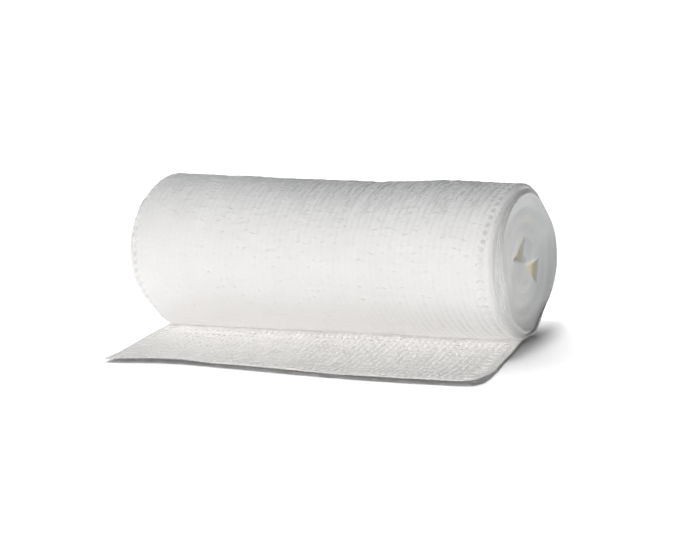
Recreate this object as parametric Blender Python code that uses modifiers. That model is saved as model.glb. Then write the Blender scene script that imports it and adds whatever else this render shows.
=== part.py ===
"""A gauze bandage roll that lies on its side, with its first few centimetres unrolled in front.

The bandage is one long knitted strip, wound up on itself with no core. The roll's axis lies along X.
The outermost turn comes down behind the roll, passes under it and runs forward, towards -Y, as the
loose end. The origin is the middle of the footprint, on the surface that the bandage lies on.

Two pieces are made: the wound roll as one solid, and the loose end as one sheet.
"""

import math
from collections import namedtuple

import bmesh
import bpy
from mathutils import Vector

MM = 0.001

# The wound roll. Until both pieces are put in place, its axis is the X axis, raised to its height.
# Angles go round from the top by the front, in degrees.
LEFT_RADIUS = 19.45 * MM
RIGHT_RADIUS = 18.15 * MM
LEFT_LINE = -49.0 * MM  # the row of selvage holes at the left end
LEFT_LINE_SLANT = 0.5 * MM  # that row lies this much further out at the front
RIGHT_LINE = 45.7 * MM  # the row of selvage holes at the right end
RIGHT_LINE_SLANT = 0.6 * MM  # that row lies this much further in at the front
RIGHT_LINE_WAVE = 0.9 * MM  # and this much further out at the top and at the bottom
SINK = 0.5 * MM  # how deep the surface cuts into the round form, which leaves the flat spot
FULLNESS = 26.0  # the spread of the fuller lower side beside the flat spot

# The loose end, and the step where it leaves the roll.
SHEET = 1.0 * MM  # its thickness
PARTING = 0.3 * MM  # the gap between the two pieces
STEP_ANGLE = 177.5  # where the outermost turn leaves the roll
END_REACH = 37.2 * MM  # how far the loose end reaches in front of the axis
ROOT_LEFT = -52.0 * MM  # its two corners under the roll
ROOT_RIGHT = 46.0 * MM
TIP_LEFT = -49.7 * MM  # its two corners in front
TIP_RIGHT = 51.9 * MM
CORNER = 4.5 * MM  # the radius of its right corner
LIFT = 1.25 * MM  # how high a stretch of the front edge rises off the surface
LIFT_ALONG = -32.0 * MM  # where that stretch is, how far it spreads and how far back it goes
LIFT_SPREAD = 11.0 * MM
LIFT_DEPTH = 13.0 * MM

# The middle of the footprint, seen from the roll's axis.
MIDDLE_X = -1.065 * MM
MIDDLE_Y = -8.88 * MM

# Mesh density.
ROUND_STEPS = 72
SIDE_STEPS = 30
SHEET_STEPS_ACROSS = 40
SHEET_STEPS_ALONG = 14
SHARP_ANGLE = 50.0  # edges with a greater turn than this stay sharp

WHITE_ROLL = (0.88, 0.88, 0.865, 1.0)
WHITE_SHEET = (0.86, 0.86, 0.85, 1.0)
GAUZE_ROUGHNESS = 0.92

# Where along the axis the winding is drawn in, and by how much, in millimetres.
Waist = namedtuple("Waist", "along drawn_in")
WAIST = (
    Waist(-49.0, 0.00),
    Waist(-38.0, 0.03),
    Waist(-33.5, 0.16),
    Waist(-29.0, 0.02),
    Waist(-18.0, 0.33),
    Waist(-1.0, 0.46),
    Waist(8.0, 0.62),
    Waist(14.0, 0.34),
    Waist(28.0, -0.34),
    Waist(46.0, -0.12),
)

# Flattened places on the side: their angle and its spread in degrees, the rest in millimetres.
Dent = namedtuple("Dent", "angle spread along reach depth")
DENTS = (
    Dent(309.0, 22.0, 48.0, 22.0, 1.15),
    Dent(220.0, 31.0, 50.0, 17.0, 1.60),
    Dent(134.0, 25.0, -52.0, 20.0, 1.50),
    Dent(24.0, 22.0, -52.0, 8.0, 0.70),
    Dent(38.0, 22.0, 8.0, 20.0, 0.22),
    Dent(330.0, 20.0, -20.0, 18.0, 0.25),
    Dent(235.0, 24.0, 12.0, 24.0, 0.25),
    Dent(75.0, 16.0, -22.0, 14.0, 0.15),
)

# The rings of the left end, from the side inward: how far out of the selvage row they lie, and how
# far in from the side, in millimetres. The turns inside the outermost one stand further out.
LeftRing = namedtuple("LeftRing", "out inward")
LEFT_SHOULDER = (
    LeftRing(1.0, 0.25),
    LeftRing(1.9, 0.95),
    LeftRing(2.6, 1.95),
    LeftRing(2.5, 2.6),
    LeftRing(3.2, 3.2),
    LeftRing(3.6, 4.4),
)
LEFT_FACE_OUT = 4.0 * MM

# The outermost turn's cut edge at the right end, where the side rounds off.
EDGE_OUT = 47.5 * MM
EDGE_SLANT = 0.6 * MM  # it lies this much further in at the front
EDGE_WAVE = 0.25 * MM  # and this much further out at the top and at the bottom
EDGE_INWARD = 0.65 * MM  # how far in from the side it lies
EDGE_INWARD_SWING = 0.4 * MM  # and this much more where the end is rounded off the most
EDGE_INWARD_AT = 45.0
SHOULDER_OUT = 0.55  # the side's last ring, as shares of the way from the selvage row to that edge
SHOULDER_INWARD = 0.35

# The lip of the turns that stand furthest out at the right end.
LIP_OUT = 48.3 * MM
LIP_OUT_BACK = 0.3 * MM  # it stands this much further out at the back, and less at the front
LIP_BULGE = 1.0 * MM  # but bulges out by this much here
LIP_BULGE_AT = 96.0
LIP_BULGE_SPREAD = 28.0
LIP_TUCK = 1.0 * MM  # and is tucked in by this much where the roll's weight lies on it
LIP_TUCK_AT = 200.0
LIP_TUCK_SPREAD = 30.0
LIP_INWARD = 2.4 * MM  # how far in from the side it lies
LIP_INWARD_FRONT = 0.6 * MM  # and this much more at the front, less at the back
RIGHT_FACE_OUT = 47.5 * MM

# The rings of the right end, from the face outward: what they follow, and how far out of it and in
# from it they lie, in millimetres.
RightRing = namedtuple("RightRing", "follows out inward")
RIGHT_SHOULDER = (
    RightRing("lip", -0.3, 0.7),
    RightRing("lip", 0.0, 0.0),
    RightRing("lip", -0.3, -0.5),
    RightRing("edge", -0.2, 0.7),
    RightRing("edge", 0.0, 0.0),
)

# The faces inside those rings: the main turns show as a spiral, and the right face is dished.
FACE_RINGS = 12
TURN_PITCH = 3.6 * MM
TURN_RELIEF = 0.3 * MM
CORE_RADIUS = 2.4 * MM  # the spiral fades in from here
FACE_DISH = 0.5 * MM
RIM_POWER = 4  # how late the face bends up to its rim

# The hollows that are left where the strip's first turns were folded, by the three corners of their
# mouths on an end face, in millimetres from the axis, and their depth.
Hollow = namedtuple("Hollow", "end y1 z1 y2 z2 y3 z3 depth")
HOLLOWS = (
    Hollow("right", 0.7, 5.4, -5.0, 1.7, -1.3, 0.5, 13.0),
    Hollow("right", 0.3, -0.9, 8.8, -1.4, 6.6, -6.4, 15.0),
    Hollow("left", -4.4, 1.0, 2.2, 3.4, 1.4, -0.9, 12.0),
)
FOLD_Y = 3.4 * MM  # the folded flap between the two hollows of the right end
FOLD_Z = 1.1 * MM
FOLD_RADIUS = 3.0 * MM
FOLD_HEIGHT = 0.7 * MM
HOLLOW_TAPER = 0.45  # the hollow's bottom is this share of its mouth
HOLLOW_EDGE = 0.12  # how much its edges are rounded, as a share of its radius
MOUTH_OVERCUT = 2.0 * MM


def clear_scene():
    """Removes what the file starts with."""
    for obj in list(bpy.data.objects):
        bpy.data.objects.remove(obj, do_unlink=True)


def new_collection(name):
    """A collection of this name under the scene's own."""
    found = bpy.data.collections.new(name)
    bpy.context.scene.collection.children.link(found)
    return found


def gauze(name, colour):
    """Matt white knitted cotton."""
    material = bpy.data.materials.new(name)
    material.use_nodes = True
    shader = material.node_tree.nodes["Principled BSDF"]
    shader.inputs["Base Color"].default_value = colour
    shader.inputs["Roughness"].default_value = GAUZE_ROUGHNESS
    shader.inputs["Metallic"].default_value = 0.0
    return material


def turn_outward(mesh):
    """Turns a closed mesh's faces round where moving its points has left it inside out."""
    mesh.normal_update()
    if mesh.calc_volume(signed=True) < 0.0:
        bmesh.ops.reverse_faces(mesh, faces=mesh.faces)


def eased(share):
    """A share from 0 to 1, with a soft start and a soft end."""
    share = min(max(share, 0.0), 1.0)
    return share * share * (3.0 - 2.0 * share)


def bell(distance, spread):
    """1 at no distance, falling off softly to 0 past about twice the spread."""
    return math.exp(-((distance / spread) ** 2))


def angle_between(a, b):
    """The smaller difference of two angles, in degrees."""
    return abs((a - b + 180.0) % 360.0 - 180.0)


def drawn_in_at(x):
    """How far the waist draws the side in at x."""
    along = x / MM
    for before, after in zip(WAIST, WAIST[1:]):
        if along <= after.along:
            share = eased((along - before.along) / (after.along - before.along))
            return MM * (before.drawn_in + share * (after.drawn_in - before.drawn_in))
    return MM * WAIST[-1].drawn_in


def mean_radius(x):
    """The taper from the left end to the right one, without waist or dents."""
    share = (x - LEFT_LINE) / (RIGHT_LINE - LEFT_LINE)
    return LEFT_RADIUS + share * (RIGHT_RADIUS - LEFT_RADIUS)


def axis_height(x):
    """The height of the winding's centre over the surface that it lies on."""
    return mean_radius(x)


def side_radius(x, angle):
    """The radius of the wound side at x, this many degrees round from the top by the front."""
    radius = mean_radius(x) - drawn_in_at(x)
    for dent in DENTS:
        round_share = bell(angle_between(angle, dent.angle), dent.spread)
        radius -= dent.depth * MM * round_share * bell(x / MM - dent.along, dent.reach)
    low_share = bell(angle_between(angle, 180.0), FULLNESS)
    return radius + low_share * (axis_height(x) + SINK - radius)


def left_line(angle):
    """Where along X the left row of selvage holes runs at this angle."""
    return LEFT_LINE - LEFT_LINE_SLANT * math.sin(math.radians(angle))


def right_line(angle):
    """Where along X the right row of selvage holes runs at this angle."""
    turn = math.radians(angle)
    return RIGHT_LINE - RIGHT_LINE_SLANT * math.sin(turn) + RIGHT_LINE_WAVE * math.cos(2.0 * turn)


def ring_angle(step):
    """The angle of a point of a ring, with one moved to the step where the outermost turn leaves."""
    angle = 360.0 * step / ROUND_STEPS
    return STEP_ANGLE if step == ROUND_STEPS // 2 else angle


def placed(x, radius, angle):
    """The point at this radius and angle, pressed flat where it would go through the surface.

    In front of the step the roll lies on its own loose end, so there it is held higher.
    """
    turn = math.radians(angle)
    floor = 0.0 if angle >= STEP_ANGLE else SHEET + PARTING
    y = -radius * math.sin(turn)
    z = axis_height(x) + radius * math.cos(turn)
    return Vector((x, y, max(z, floor)))


def spiral_relief(radius, angle, sign):
    """The rise of the main turns on an end: each one slopes up to its edge and drops to the next."""
    phase = (radius / TURN_PITCH + sign * angle / 360.0) % 1.0
    rise = TURN_RELIEF * (2.0 * abs(phase - 0.5) - 0.5)
    return rise * eased((radius - CORE_RADIUS) / (2.0 * CORE_RADIUS))


def fold_rise(radius, angle):
    """The rise of the folded flap beside the right end's hollows."""
    turn = math.radians(angle)
    away = math.hypot(-radius * math.sin(turn) - FOLD_Y, radius * math.cos(turn) - FOLD_Z)
    return FOLD_HEIGHT * bell(away, FOLD_RADIUS)


def right_edge(angle):
    """The outermost turn's edge at the right end, as its X and its radius."""
    turn = math.radians(angle)
    x = EDGE_OUT - EDGE_SLANT * math.sin(turn) + EDGE_WAVE * math.cos(2.0 * turn)
    swing = math.cos(math.radians(angle - EDGE_INWARD_AT))
    inward = EDGE_INWARD + EDGE_INWARD_SWING * swing
    return x, side_radius(right_line(angle), angle) - inward


def right_lip(angle):
    """The lip of the turns that stand furthest out at the right end, as its X and its radius."""
    x = LIP_OUT - LIP_OUT_BACK * math.sin(math.radians(angle))
    x += LIP_BULGE * bell(angle_between(angle, LIP_BULGE_AT), LIP_BULGE_SPREAD)
    x -= LIP_TUCK * bell(angle_between(angle, LIP_TUCK_AT), LIP_TUCK_SPREAD)
    inward = LIP_INWARD + LIP_INWARD_FRONT * math.sin(math.radians(angle))
    return x, side_radius(right_line(angle), angle) - inward


def right_end_point(ring, rings, angle):
    """A point of the right end. Ring 0 is the face's middle and the last one is at the edge."""
    edge_x, edge_radius = right_edge(angle)
    lip_x, lip_radius = right_lip(angle)
    if ring == rings:
        line_x = right_line(angle)
        side = side_radius(line_x, angle)
        x = line_x + SHOULDER_OUT * (edge_x - line_x)
        return placed(x, side - SHOULDER_INWARD * (side - edge_radius), angle)
    step = ring - (rings - len(RIGHT_SHOULDER))
    if step >= 0:
        row = RIGHT_SHOULDER[step]
        x, radius = (lip_x, lip_radius) if row.follows == "lip" else (edge_x, edge_radius)
        return placed(x + row.out * MM, radius - row.inward * MM, angle)
    inner = RIGHT_SHOULDER[0]
    share = ring / (rings - len(RIGHT_SHOULDER))
    radius = share * (lip_radius - inner.inward * MM)
    rim_x = lip_x + inner.out * MM
    x = RIGHT_FACE_OUT + share**RIM_POWER * (rim_x - RIGHT_FACE_OUT)
    x -= FACE_DISH * math.sin(math.pi * share)
    x += spiral_relief(radius, angle, 1.0) + fold_rise(radius, angle)
    return placed(x, radius, angle)


def left_end_point(ring, rings, angle):
    """A point of the left end. Ring 0 is the face's middle and the last one is at the edge."""
    line_x = left_line(angle)
    side = side_radius(line_x, angle)
    if ring > rings - len(LEFT_SHOULDER):
        row = LEFT_SHOULDER[rings - ring]
        return placed(line_x - row.out * MM, side - row.inward * MM, angle)
    inner = LEFT_SHOULDER[-1]
    share = ring / (rings - len(LEFT_SHOULDER) + 1)
    radius = share * (side - inner.inward * MM)
    out = LEFT_FACE_OUT - share**RIM_POWER * (LEFT_FACE_OUT - inner.out * MM)
    x = share * line_x + (1.0 - share) * LEFT_LINE - out - spiral_relief(radius, angle, -1.0)
    return placed(x, radius, angle)


def roll_mesh():
    """The wound form: a ball of rings and steps, each point moved to its place on the roll."""
    right_rings = FACE_RINGS + len(RIGHT_SHOULDER) + 1
    left_rings = FACE_RINGS + len(LEFT_SHOULDER)
    all_rings = right_rings + SIDE_STEPS + 1 + left_rings
    mesh = bmesh.new()
    bmesh.ops.create_uvsphere(mesh, u_segments=ROUND_STEPS, v_segments=all_rings + 1, radius=1.0)
    for vert in mesh.verts:
        polar = math.atan2(math.hypot(vert.co.x, vert.co.y), vert.co.z)
        ring = round(polar / math.pi * (all_rings + 1))
        turned = math.degrees(math.atan2(vert.co.y, vert.co.x)) % 360.0
        angle = ring_angle(round(turned / 360.0 * ROUND_STEPS) % ROUND_STEPS)
        side_ring = ring - 1 - right_rings
        if ring <= right_rings:
            vert.co = right_end_point(ring, right_rings, angle)
        elif side_ring <= SIDE_STEPS:
            line_x = right_line(angle)
            x = line_x + (left_line(angle) - line_x) * side_ring / SIDE_STEPS
            vert.co = placed(x, side_radius(x, angle), angle)
        else:
            vert.co = left_end_point(all_rings + 1 - ring, left_rings, angle)
    turn_outward(mesh)
    return mesh


def add_object(name, mesh, material, collection, place):
    """Makes a named object of a bmesh, hangs it on the placing empty and shades it smooth."""
    data = bpy.data.meshes.new(name)
    mesh.to_mesh(data)
    mesh.free()
    data.materials.append(material)
    data.shade_smooth()
    data.set_sharp_from_angle(angle=math.radians(SHARP_ANGLE))
    obj = bpy.data.objects.new(name, data)
    obj.parent = place
    collection.objects.link(obj)
    return obj


def hollow_cutter(index, hollow, collection, place):
    """A three-sided tapered plug, standing in the roll's end where a hollow is."""
    sign = 1.0 if hollow.end == "right" else -1.0
    face_x = RIGHT_FACE_OUT if hollow.end == "right" else LEFT_LINE - LEFT_FACE_OUT
    mesh = bmesh.new()
    bmesh.ops.create_cone(
        mesh, cap_ends=True, segments=3, radius1=HOLLOW_TAPER, radius2=1.0, depth=1.0
    )
    upright = [edge for edge in mesh.edges if abs(edge.verts[0].co.z - edge.verts[1].co.z) > 0.5]
    bmesh.ops.bevel(
        mesh, geom=upright, offset=HOLLOW_EDGE, segments=2, profile=0.5, affect="EDGES"
    )
    # A unit triangle's corners at 90, 210 and 330 degrees go to the mouth's three corners.
    middle_y = (hollow.y1 + hollow.y2 + hollow.y3) / 3.0
    middle_z = (hollow.z1 + hollow.z2 + hollow.z3) / 3.0
    depth = hollow.depth * MM + MOUTH_OVERCUT
    for vert in mesh.verts:
        side_share = vert.co.x / math.sqrt(3.0)
        y = middle_y + side_share * (hollow.y3 - hollow.y2) + vert.co.y * (hollow.y1 - middle_y)
        z = middle_z + side_share * (hollow.z3 - hollow.z2) + vert.co.y * (hollow.z1 - middle_z)
        x = face_x + sign * (MOUTH_OVERCUT + (vert.co.z - 0.5) * depth)
        vert.co = Vector((x, y * MM, axis_height(face_x) + z * MM))
    turn_outward(mesh)
    data = bpy.data.meshes.new(f"hollow_cutter_{index}")
    mesh.to_mesh(data)
    mesh.free()
    cutter = bpy.data.objects.new(data.name, data)
    cutter.parent = place
    cutter.hide_render = True
    cutter.display_type = "WIRE"
    collection.objects.link(cutter)
    return cutter


def rounded_corner(across, along, reach_x, reach_y):
    """Moves a point of the sheet's right front corner from the square corner on to a round one."""
    in_x = (across - (reach_x - CORNER)) / CORNER
    in_y = (along - (reach_y - CORNER)) / CORNER
    if in_x <= 0.0 or in_y <= 0.0:
        return across, along
    across = reach_x - CORNER + CORNER * in_x * math.sqrt(1.0 - in_y * in_y / 2.0)
    along = reach_y - CORNER + CORNER * in_y * math.sqrt(1.0 - in_x * in_x / 2.0)
    return across, along


def sheet_point(across_share, along_share):
    """A point of the loose end's underside. Along is 0 under the roll and 1 at the cut edge."""
    step = ring_angle(ROUND_STEPS // 2 - 1)
    root_y = side_radius(0.0, step) * math.sin(math.radians(step)) + PARTING
    left = ROOT_LEFT + along_share * (TIP_LEFT - ROOT_LEFT)
    right = ROOT_RIGHT + along_share * (TIP_RIGHT - ROOT_RIGHT)
    width = right - left
    across, along = rounded_corner(
        across_share * width, root_y + along_share * (END_REACH - root_y), width, END_REACH
    )
    x = left + across
    lift = LIFT * bell(x - LIFT_ALONG, LIFT_SPREAD)
    lift *= eased(1.0 - (END_REACH - along) / LIFT_DEPTH)
    return Vector((x, -along, lift))


def sheet_mesh():
    """The loose end's underside: a flat grid with its points moved to the unrolled cloth's shape."""
    mesh = bmesh.new()
    bmesh.ops.create_grid(
        mesh, x_segments=SHEET_STEPS_ACROSS, y_segments=SHEET_STEPS_ALONG, size=0.5
    )
    for vert in mesh.verts:
        vert.co = sheet_point(vert.co.x + 0.5, 0.5 - vert.co.y)
    mesh.normal_update()
    facing_down = [face for face in mesh.faces if face.normal.z < 0.0]
    bmesh.ops.reverse_faces(mesh, faces=facing_down)
    return mesh


def build():
    """Makes the roll and its loose end."""
    clear_scene()
    parts = new_collection("gauze_bandage_roll")
    cutters = new_collection("cutters")
    place = bpy.data.objects.new("footprint_middle", None)
    place.location = (-MIDDLE_X, -MIDDLE_Y, 0.0)
    parts.objects.link(place)

    roll = add_object("roll", roll_mesh(), gauze("gauze_wound", WHITE_ROLL), parts, place)
    for index, hollow in enumerate(HOLLOWS, start=1):
        cut = roll.modifiers.new(f"hollow_{index}", "BOOLEAN")
        cut.operation = "DIFFERENCE"
        cut.solver = "EXACT"
        cut.object = hollow_cutter(index, hollow, cutters, place)

    loose = add_object("loose_end", sheet_mesh(), gauze("gauze_sheet", WHITE_SHEET), parts, place)
    thickness = loose.modifiers.new("cloth", "SOLIDIFY")
    thickness.thickness = SHEET
    thickness.offset = 1.0


build()
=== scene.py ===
"""The gauze bandage roll, dressed: a knitted cotton strip wound on itself, its end unrolled in front.

Lengths inside the classes are millimetres, because a knitter's sizes read best so, and a piece's
points become metres when they are written to its mesh. Angles go round the roll from its top by the
front, in degrees. The strip has its own measures: how far across it a point lies, in millimetres
from its left cut edge, and how many courses of stitches along it.
"""

import logging
import math
from abc import ABC, abstractmethod
from dataclasses import dataclass, field
from enum import Enum

import bpy
import numpy as np
from mathutils import Matrix, Vector


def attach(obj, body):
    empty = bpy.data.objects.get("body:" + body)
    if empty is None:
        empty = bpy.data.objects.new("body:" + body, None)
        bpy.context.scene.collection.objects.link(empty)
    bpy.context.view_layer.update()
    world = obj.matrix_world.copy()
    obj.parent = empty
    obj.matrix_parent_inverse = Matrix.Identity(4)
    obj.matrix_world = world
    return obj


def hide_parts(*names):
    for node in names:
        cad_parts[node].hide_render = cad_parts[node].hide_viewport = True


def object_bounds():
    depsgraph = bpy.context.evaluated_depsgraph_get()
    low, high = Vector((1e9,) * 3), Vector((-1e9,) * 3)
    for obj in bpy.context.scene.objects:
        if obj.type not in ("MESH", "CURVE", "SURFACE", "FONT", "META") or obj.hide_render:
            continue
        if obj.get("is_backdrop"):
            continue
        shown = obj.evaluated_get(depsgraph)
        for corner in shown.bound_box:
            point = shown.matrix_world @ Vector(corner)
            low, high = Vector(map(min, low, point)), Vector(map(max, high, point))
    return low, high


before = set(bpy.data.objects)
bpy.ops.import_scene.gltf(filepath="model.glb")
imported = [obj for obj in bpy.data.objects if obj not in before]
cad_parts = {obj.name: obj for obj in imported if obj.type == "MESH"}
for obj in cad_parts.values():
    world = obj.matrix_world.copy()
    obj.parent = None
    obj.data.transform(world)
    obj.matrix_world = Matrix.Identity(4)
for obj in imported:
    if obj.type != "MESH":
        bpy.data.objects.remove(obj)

log = logging.getLogger("gauze_bandage_roll")

MM = 0.001
Array = np.ndarray
Colour = tuple[float, float, float]


# --------------------------------------------------------------------------- shape helpers


def eased(share: Array) -> Array:
    """A share from 0 to 1, with a soft start and a soft end.

    Args:
        share: The share, which may lie outside 0 to 1.

    Returns:
        The eased share, held between 0 and 1.
    """
    held = np.clip(share, 0.0, 1.0)
    return held * held * (3.0 - 2.0 * held)


def bell(distance: Array, spread: float) -> Array:
    """1 at no distance, falling off softly to 0 past about twice the spread.

    Args:
        distance: How far away the point is.
        spread: How wide the bell is, in the same unit.

    Returns:
        The bell's height.
    """
    return np.exp(-((distance / spread) ** 2))


def angle_between(a: Array, b: float) -> Array:
    """The smaller difference of two angles.

    Args:
        a: Angles in degrees.
        b: Another angle in degrees.

    Returns:
        The difference, from 0 to 180.
    """
    return np.abs((a - b + 180.0) % 360.0 - 180.0)


@dataclass(frozen=True)
class Rise:
    """A soft change from 0 to 1 along a measure: where it starts and how far it runs."""

    start: float
    run: float

    def at(self, place: Array) -> Array:
        """How far the change has come at each place."""
        return eased((place - self.start) / self.run)


@dataclass(frozen=True)
class Sector:
    """A soft stretch of the way round the roll: its middle and its spread, in degrees."""

    middle: float
    spread: float

    def at(self, angle: Array) -> Array:
        """1 at the middle, falling off to 0 outside."""
        return bell(angle_between(angle, self.middle), self.spread)


@dataclass(frozen=True)
class Unevenness:
    """Smooth seeded variation over a plane, so that no two stitches come out alike."""

    seed: int
    size_a: float
    size_b: float
    cells: int = 97

    def at(self, a: Array, b: Array) -> Array:
        """The variation at each point.

        Args:
            a: First coordinate.
            b: Second coordinate.

        Returns:
            Values from -1 to 1.
        """
        lattice = np.random.RandomState(self.seed).uniform(-1.0, 1.0, (self.cells, self.cells))
        step_a, step_b = np.asarray(a) / self.size_a, np.asarray(b) / self.size_b
        cell_a, cell_b = np.floor(step_a), np.floor(step_b)
        share_a, share_b = eased(step_a - cell_a), eased(step_b - cell_b)
        i, j = cell_a.astype(int) % self.cells, cell_b.astype(int) % self.cells
        k, m = (i + 1) % self.cells, (j + 1) % self.cells
        near = lattice[i, j] * (1.0 - share_a) + lattice[k, j] * share_a
        far = lattice[i, m] * (1.0 - share_a) + lattice[k, m] * share_a
        return near * (1.0 - share_b) + far * share_b


# --------------------------------------------------------------------------- the wound form


@dataclass(frozen=True)
class Dent:
    """A flattened place on the wound side: angle and spread in degrees, the rest in millimetres."""

    angle: float
    spread: float
    along: float
    reach: float
    depth: float


@dataclass(frozen=True)
class Hollow:
    """A hollow left where the first turns were folded: its mouth's corners and its depth."""

    corners: tuple[tuple[float, float], tuple[float, float], tuple[float, float]]
    depth: float
    wall: float = 0.75
    brim: float = 0.4

    def dug(self, y: Array, z: Array) -> Array:
        """How far the hollow is dug in at each point of an end face.

        Args:
            y: Place from the axis, towards the back.
            z: Place from the axis, upwards.

        Returns:
            The depth in millimetres, 0 outside the mouth.
        """
        points = np.array(self.corners)
        middle = points.mean(axis=0)
        outside = np.full(np.shape(y), -1e9)
        for here, there in zip(points, np.roll(points, -1, axis=0)):
            along = (there - here) / np.hypot(*(there - here))
            normal = np.array([along[1], -along[0]])
            if np.dot(middle - here, normal) > 0.0:
                normal = -normal
            outside = np.maximum(outside, (y - here[0]) * normal[0] + (z - here[1]) * normal[1])
        return self.depth * eased(self.brim - outside / self.wall)


@dataclass(frozen=True)
class WoundForm:
    """The outside of the wound roll, with its axis along X, as the outermost turn follows it."""

    left_radius: float = 19.45
    right_radius: float = 18.15
    left_row: float = -49.0
    left_row_slant: float = 0.5
    right_row: float = 45.7
    right_row_slant: float = 0.6
    right_row_wave: float = 0.9
    sink: float = 0.5
    underside: Sector = Sector(180.0, 26.0)
    step_angle: float = 177.5
    sag: float = 0.20
    sag_round: Sector = Sector(155.0, 15.0)
    sag_end: Rise = Rise(12.0, 26.0)
    tuck: float = 0.9
    tuck_round: Sector = Sector(204.0, 14.0)
    tuck_start: Rise = Rise(34.0, 12.0)
    waist: tuple[tuple[float, float], ...] = (
        (-49.0, 0.0), (-38.0, 0.03), (-33.5, 0.16), (-29.0, 0.02), (-18.0, 0.33),
        (-1.0, 0.46), (8.0, 0.62), (14.0, 0.34), (28.0, -0.34), (46.0, -0.12),
    )
    dents: tuple[Dent, ...] = (
        Dent(309.0, 22.0, 48.0, 22.0, 1.15),
        Dent(220.0, 31.0, 50.0, 17.0, 1.60),
        Dent(134.0, 25.0, -52.0, 20.0, 1.50),
        Dent(24.0, 22.0, -52.0, 8.0, 0.70),
        Dent(38.0, 22.0, 8.0, 20.0, 0.22),
        Dent(330.0, 20.0, -20.0, 18.0, 0.25),
        Dent(235.0, 24.0, 12.0, 24.0, 0.25),
        Dent(75.0, 16.0, -22.0, 14.0, 0.15),
    )
    edge_out: float = 47.5
    edge_slant: float = 0.6
    edge_wave: float = 0.25
    edge_in: float = 0.65
    edge_in_wave: float = 0.4
    edge_in_angle: float = 45.0
    lip_out: float = 48.3
    lip_slant: float = 0.3
    lip_bulges: tuple[tuple[Sector, float], ...] = (
        (Sector(96.0, 28.0), 1.0),
        (Sector(200.0, 30.0), -1.0),
    )
    lip_in: float = 2.4
    lip_in_slant: float = 0.6
    lip_widening: float = 1.1
    lip_wide_round: Sector = Sector(222.0, 36.0)
    lip_width: float = 0.7
    lip_back: float = 0.3
    shoulder_in: float = 4.4
    shoulder_out: float = 3.6
    face_out: float = 47.5
    left_face_out: float = 4.0
    main_pitch: float = 3.6
    main_relief: float = 0.14
    core_radius: float = 2.4
    face_dish: float = 0.5

    def mean_radius(self, x: Array) -> Array:
        """The taper from the left end to the right one at x, which is also the axis's height."""
        share = (x - self.left_row) / (self.right_row - self.left_row)
        return self.left_radius + share * (self.right_radius - self.left_radius)

    def drawn_in(self, x: Array) -> Array:
        """How far the waist draws the side in at x."""
        along = np.array([row[0] for row in self.waist])
        depth = np.array([row[1] for row in self.waist])
        held = np.clip(x, along[0], along[-1])
        row = np.clip(np.searchsorted(along, held, side="right") - 1, 0, len(along) - 2)
        share = eased((held - along[row]) / (along[row + 1] - along[row]))
        return depth[row] + share * (depth[row + 1] - depth[row])

    def side(self, x: Array, angle: Array) -> Array:
        """The radius of the wound side.

        Args:
            x: Place along the axis.
            angle: Degrees round from the top by the front.

        Returns:
            The radius in millimetres.
        """
        radius = self.mean_radius(x) - self.drawn_in(x)
        for dent in self.dents:
            there = bell(angle_between(angle, dent.angle), dent.spread)
            radius = radius - dent.depth * there * bell(x - dent.along, dent.reach)
        radius = radius + self.underside.at(angle) * (self.mean_radius(x) + self.sink - radius)
        sag = self.sag * self.sag_round.at(angle) * (1.0 - self.sag_end.at(x))
        tuck = self.tuck * self.tuck_round.at(angle) * self.tuck_start.at(x)
        return radius + sag - tuck

    def left_line(self, angle: Array) -> Array:
        """Where along X the left row of selvage holes runs at this angle."""
        return self.left_row - self.left_row_slant * np.sin(np.radians(angle))

    def right_line(self, angle: Array) -> Array:
        """Where along X the right row of selvage holes runs at this angle."""
        turn = np.radians(angle)
        slant = self.right_row_slant * np.sin(turn)
        return self.right_row - slant + self.right_row_wave * np.cos(2.0 * turn)

    def right_edge(self, angle: Array) -> tuple[Array, Array]:
        """The outermost turn's cut edge at the right end, as its X and its radius."""
        turn = np.radians(angle)
        x = self.edge_out - self.edge_slant * np.sin(turn) + self.edge_wave * np.cos(2.0 * turn)
        inward = self.edge_in + self.edge_in_wave * np.cos(np.radians(angle - self.edge_in_angle))
        return x, self.side(self.right_line(angle), angle) - inward

    def right_lip(self, angle: Array) -> tuple[Array, Array]:
        """The lip of the turns that stand furthest out at the right end, as its X and its radius."""
        turn = np.radians(angle)
        x = self.lip_out - self.lip_slant * np.sin(turn)
        for sector, out in self.lip_bulges:
            x = x + out * sector.at(angle)
        inward = self.lip_in + self.lip_in_slant * np.sin(turn)
        inward = inward - self.lip_widening * self.lip_wide_round.at(angle)
        return x, self.side(self.right_line(angle), angle) - inward

    def main_turns(self, radius: Array, angle: Array, sign: float) -> Array:
        """The rise of the main turns on an end face: each slopes up to its edge and drops.

        Args:
            radius: Distance from the axis.
            angle: Degrees round from the top by the front.
            sign: 1 for the right end, -1 for the left one.

        Returns:
            The rise in millimetres.
        """
        phase = (radius / self.main_pitch + sign * angle / 360.0) % 1.0
        rise = self.main_relief * (2.0 * np.abs(phase - 0.5) - 0.5)
        return rise * eased((radius - self.core_radius) / (2.0 * self.core_radius))

    def right_face(self, share: Array, angle: Array) -> tuple[Array, Array]:
        """The right end face inside its lip, plain.

        Args:
            share: 0 at the middle and 1 where the face meets the lip.
            angle: Degrees round from the top by the front.

        Returns:
            The face's X and radius.
        """
        lip_x, lip_radius = self.right_lip(angle)
        radius = share * (lip_radius - self.lip_width)
        x = self.face_out + share**4 * (lip_x - self.lip_back - self.face_out)
        x = x - self.face_dish * np.sin(np.pi * np.clip(share, 0.0, 1.0))
        return x + self.main_turns(radius, angle, 1.0), radius

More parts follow.
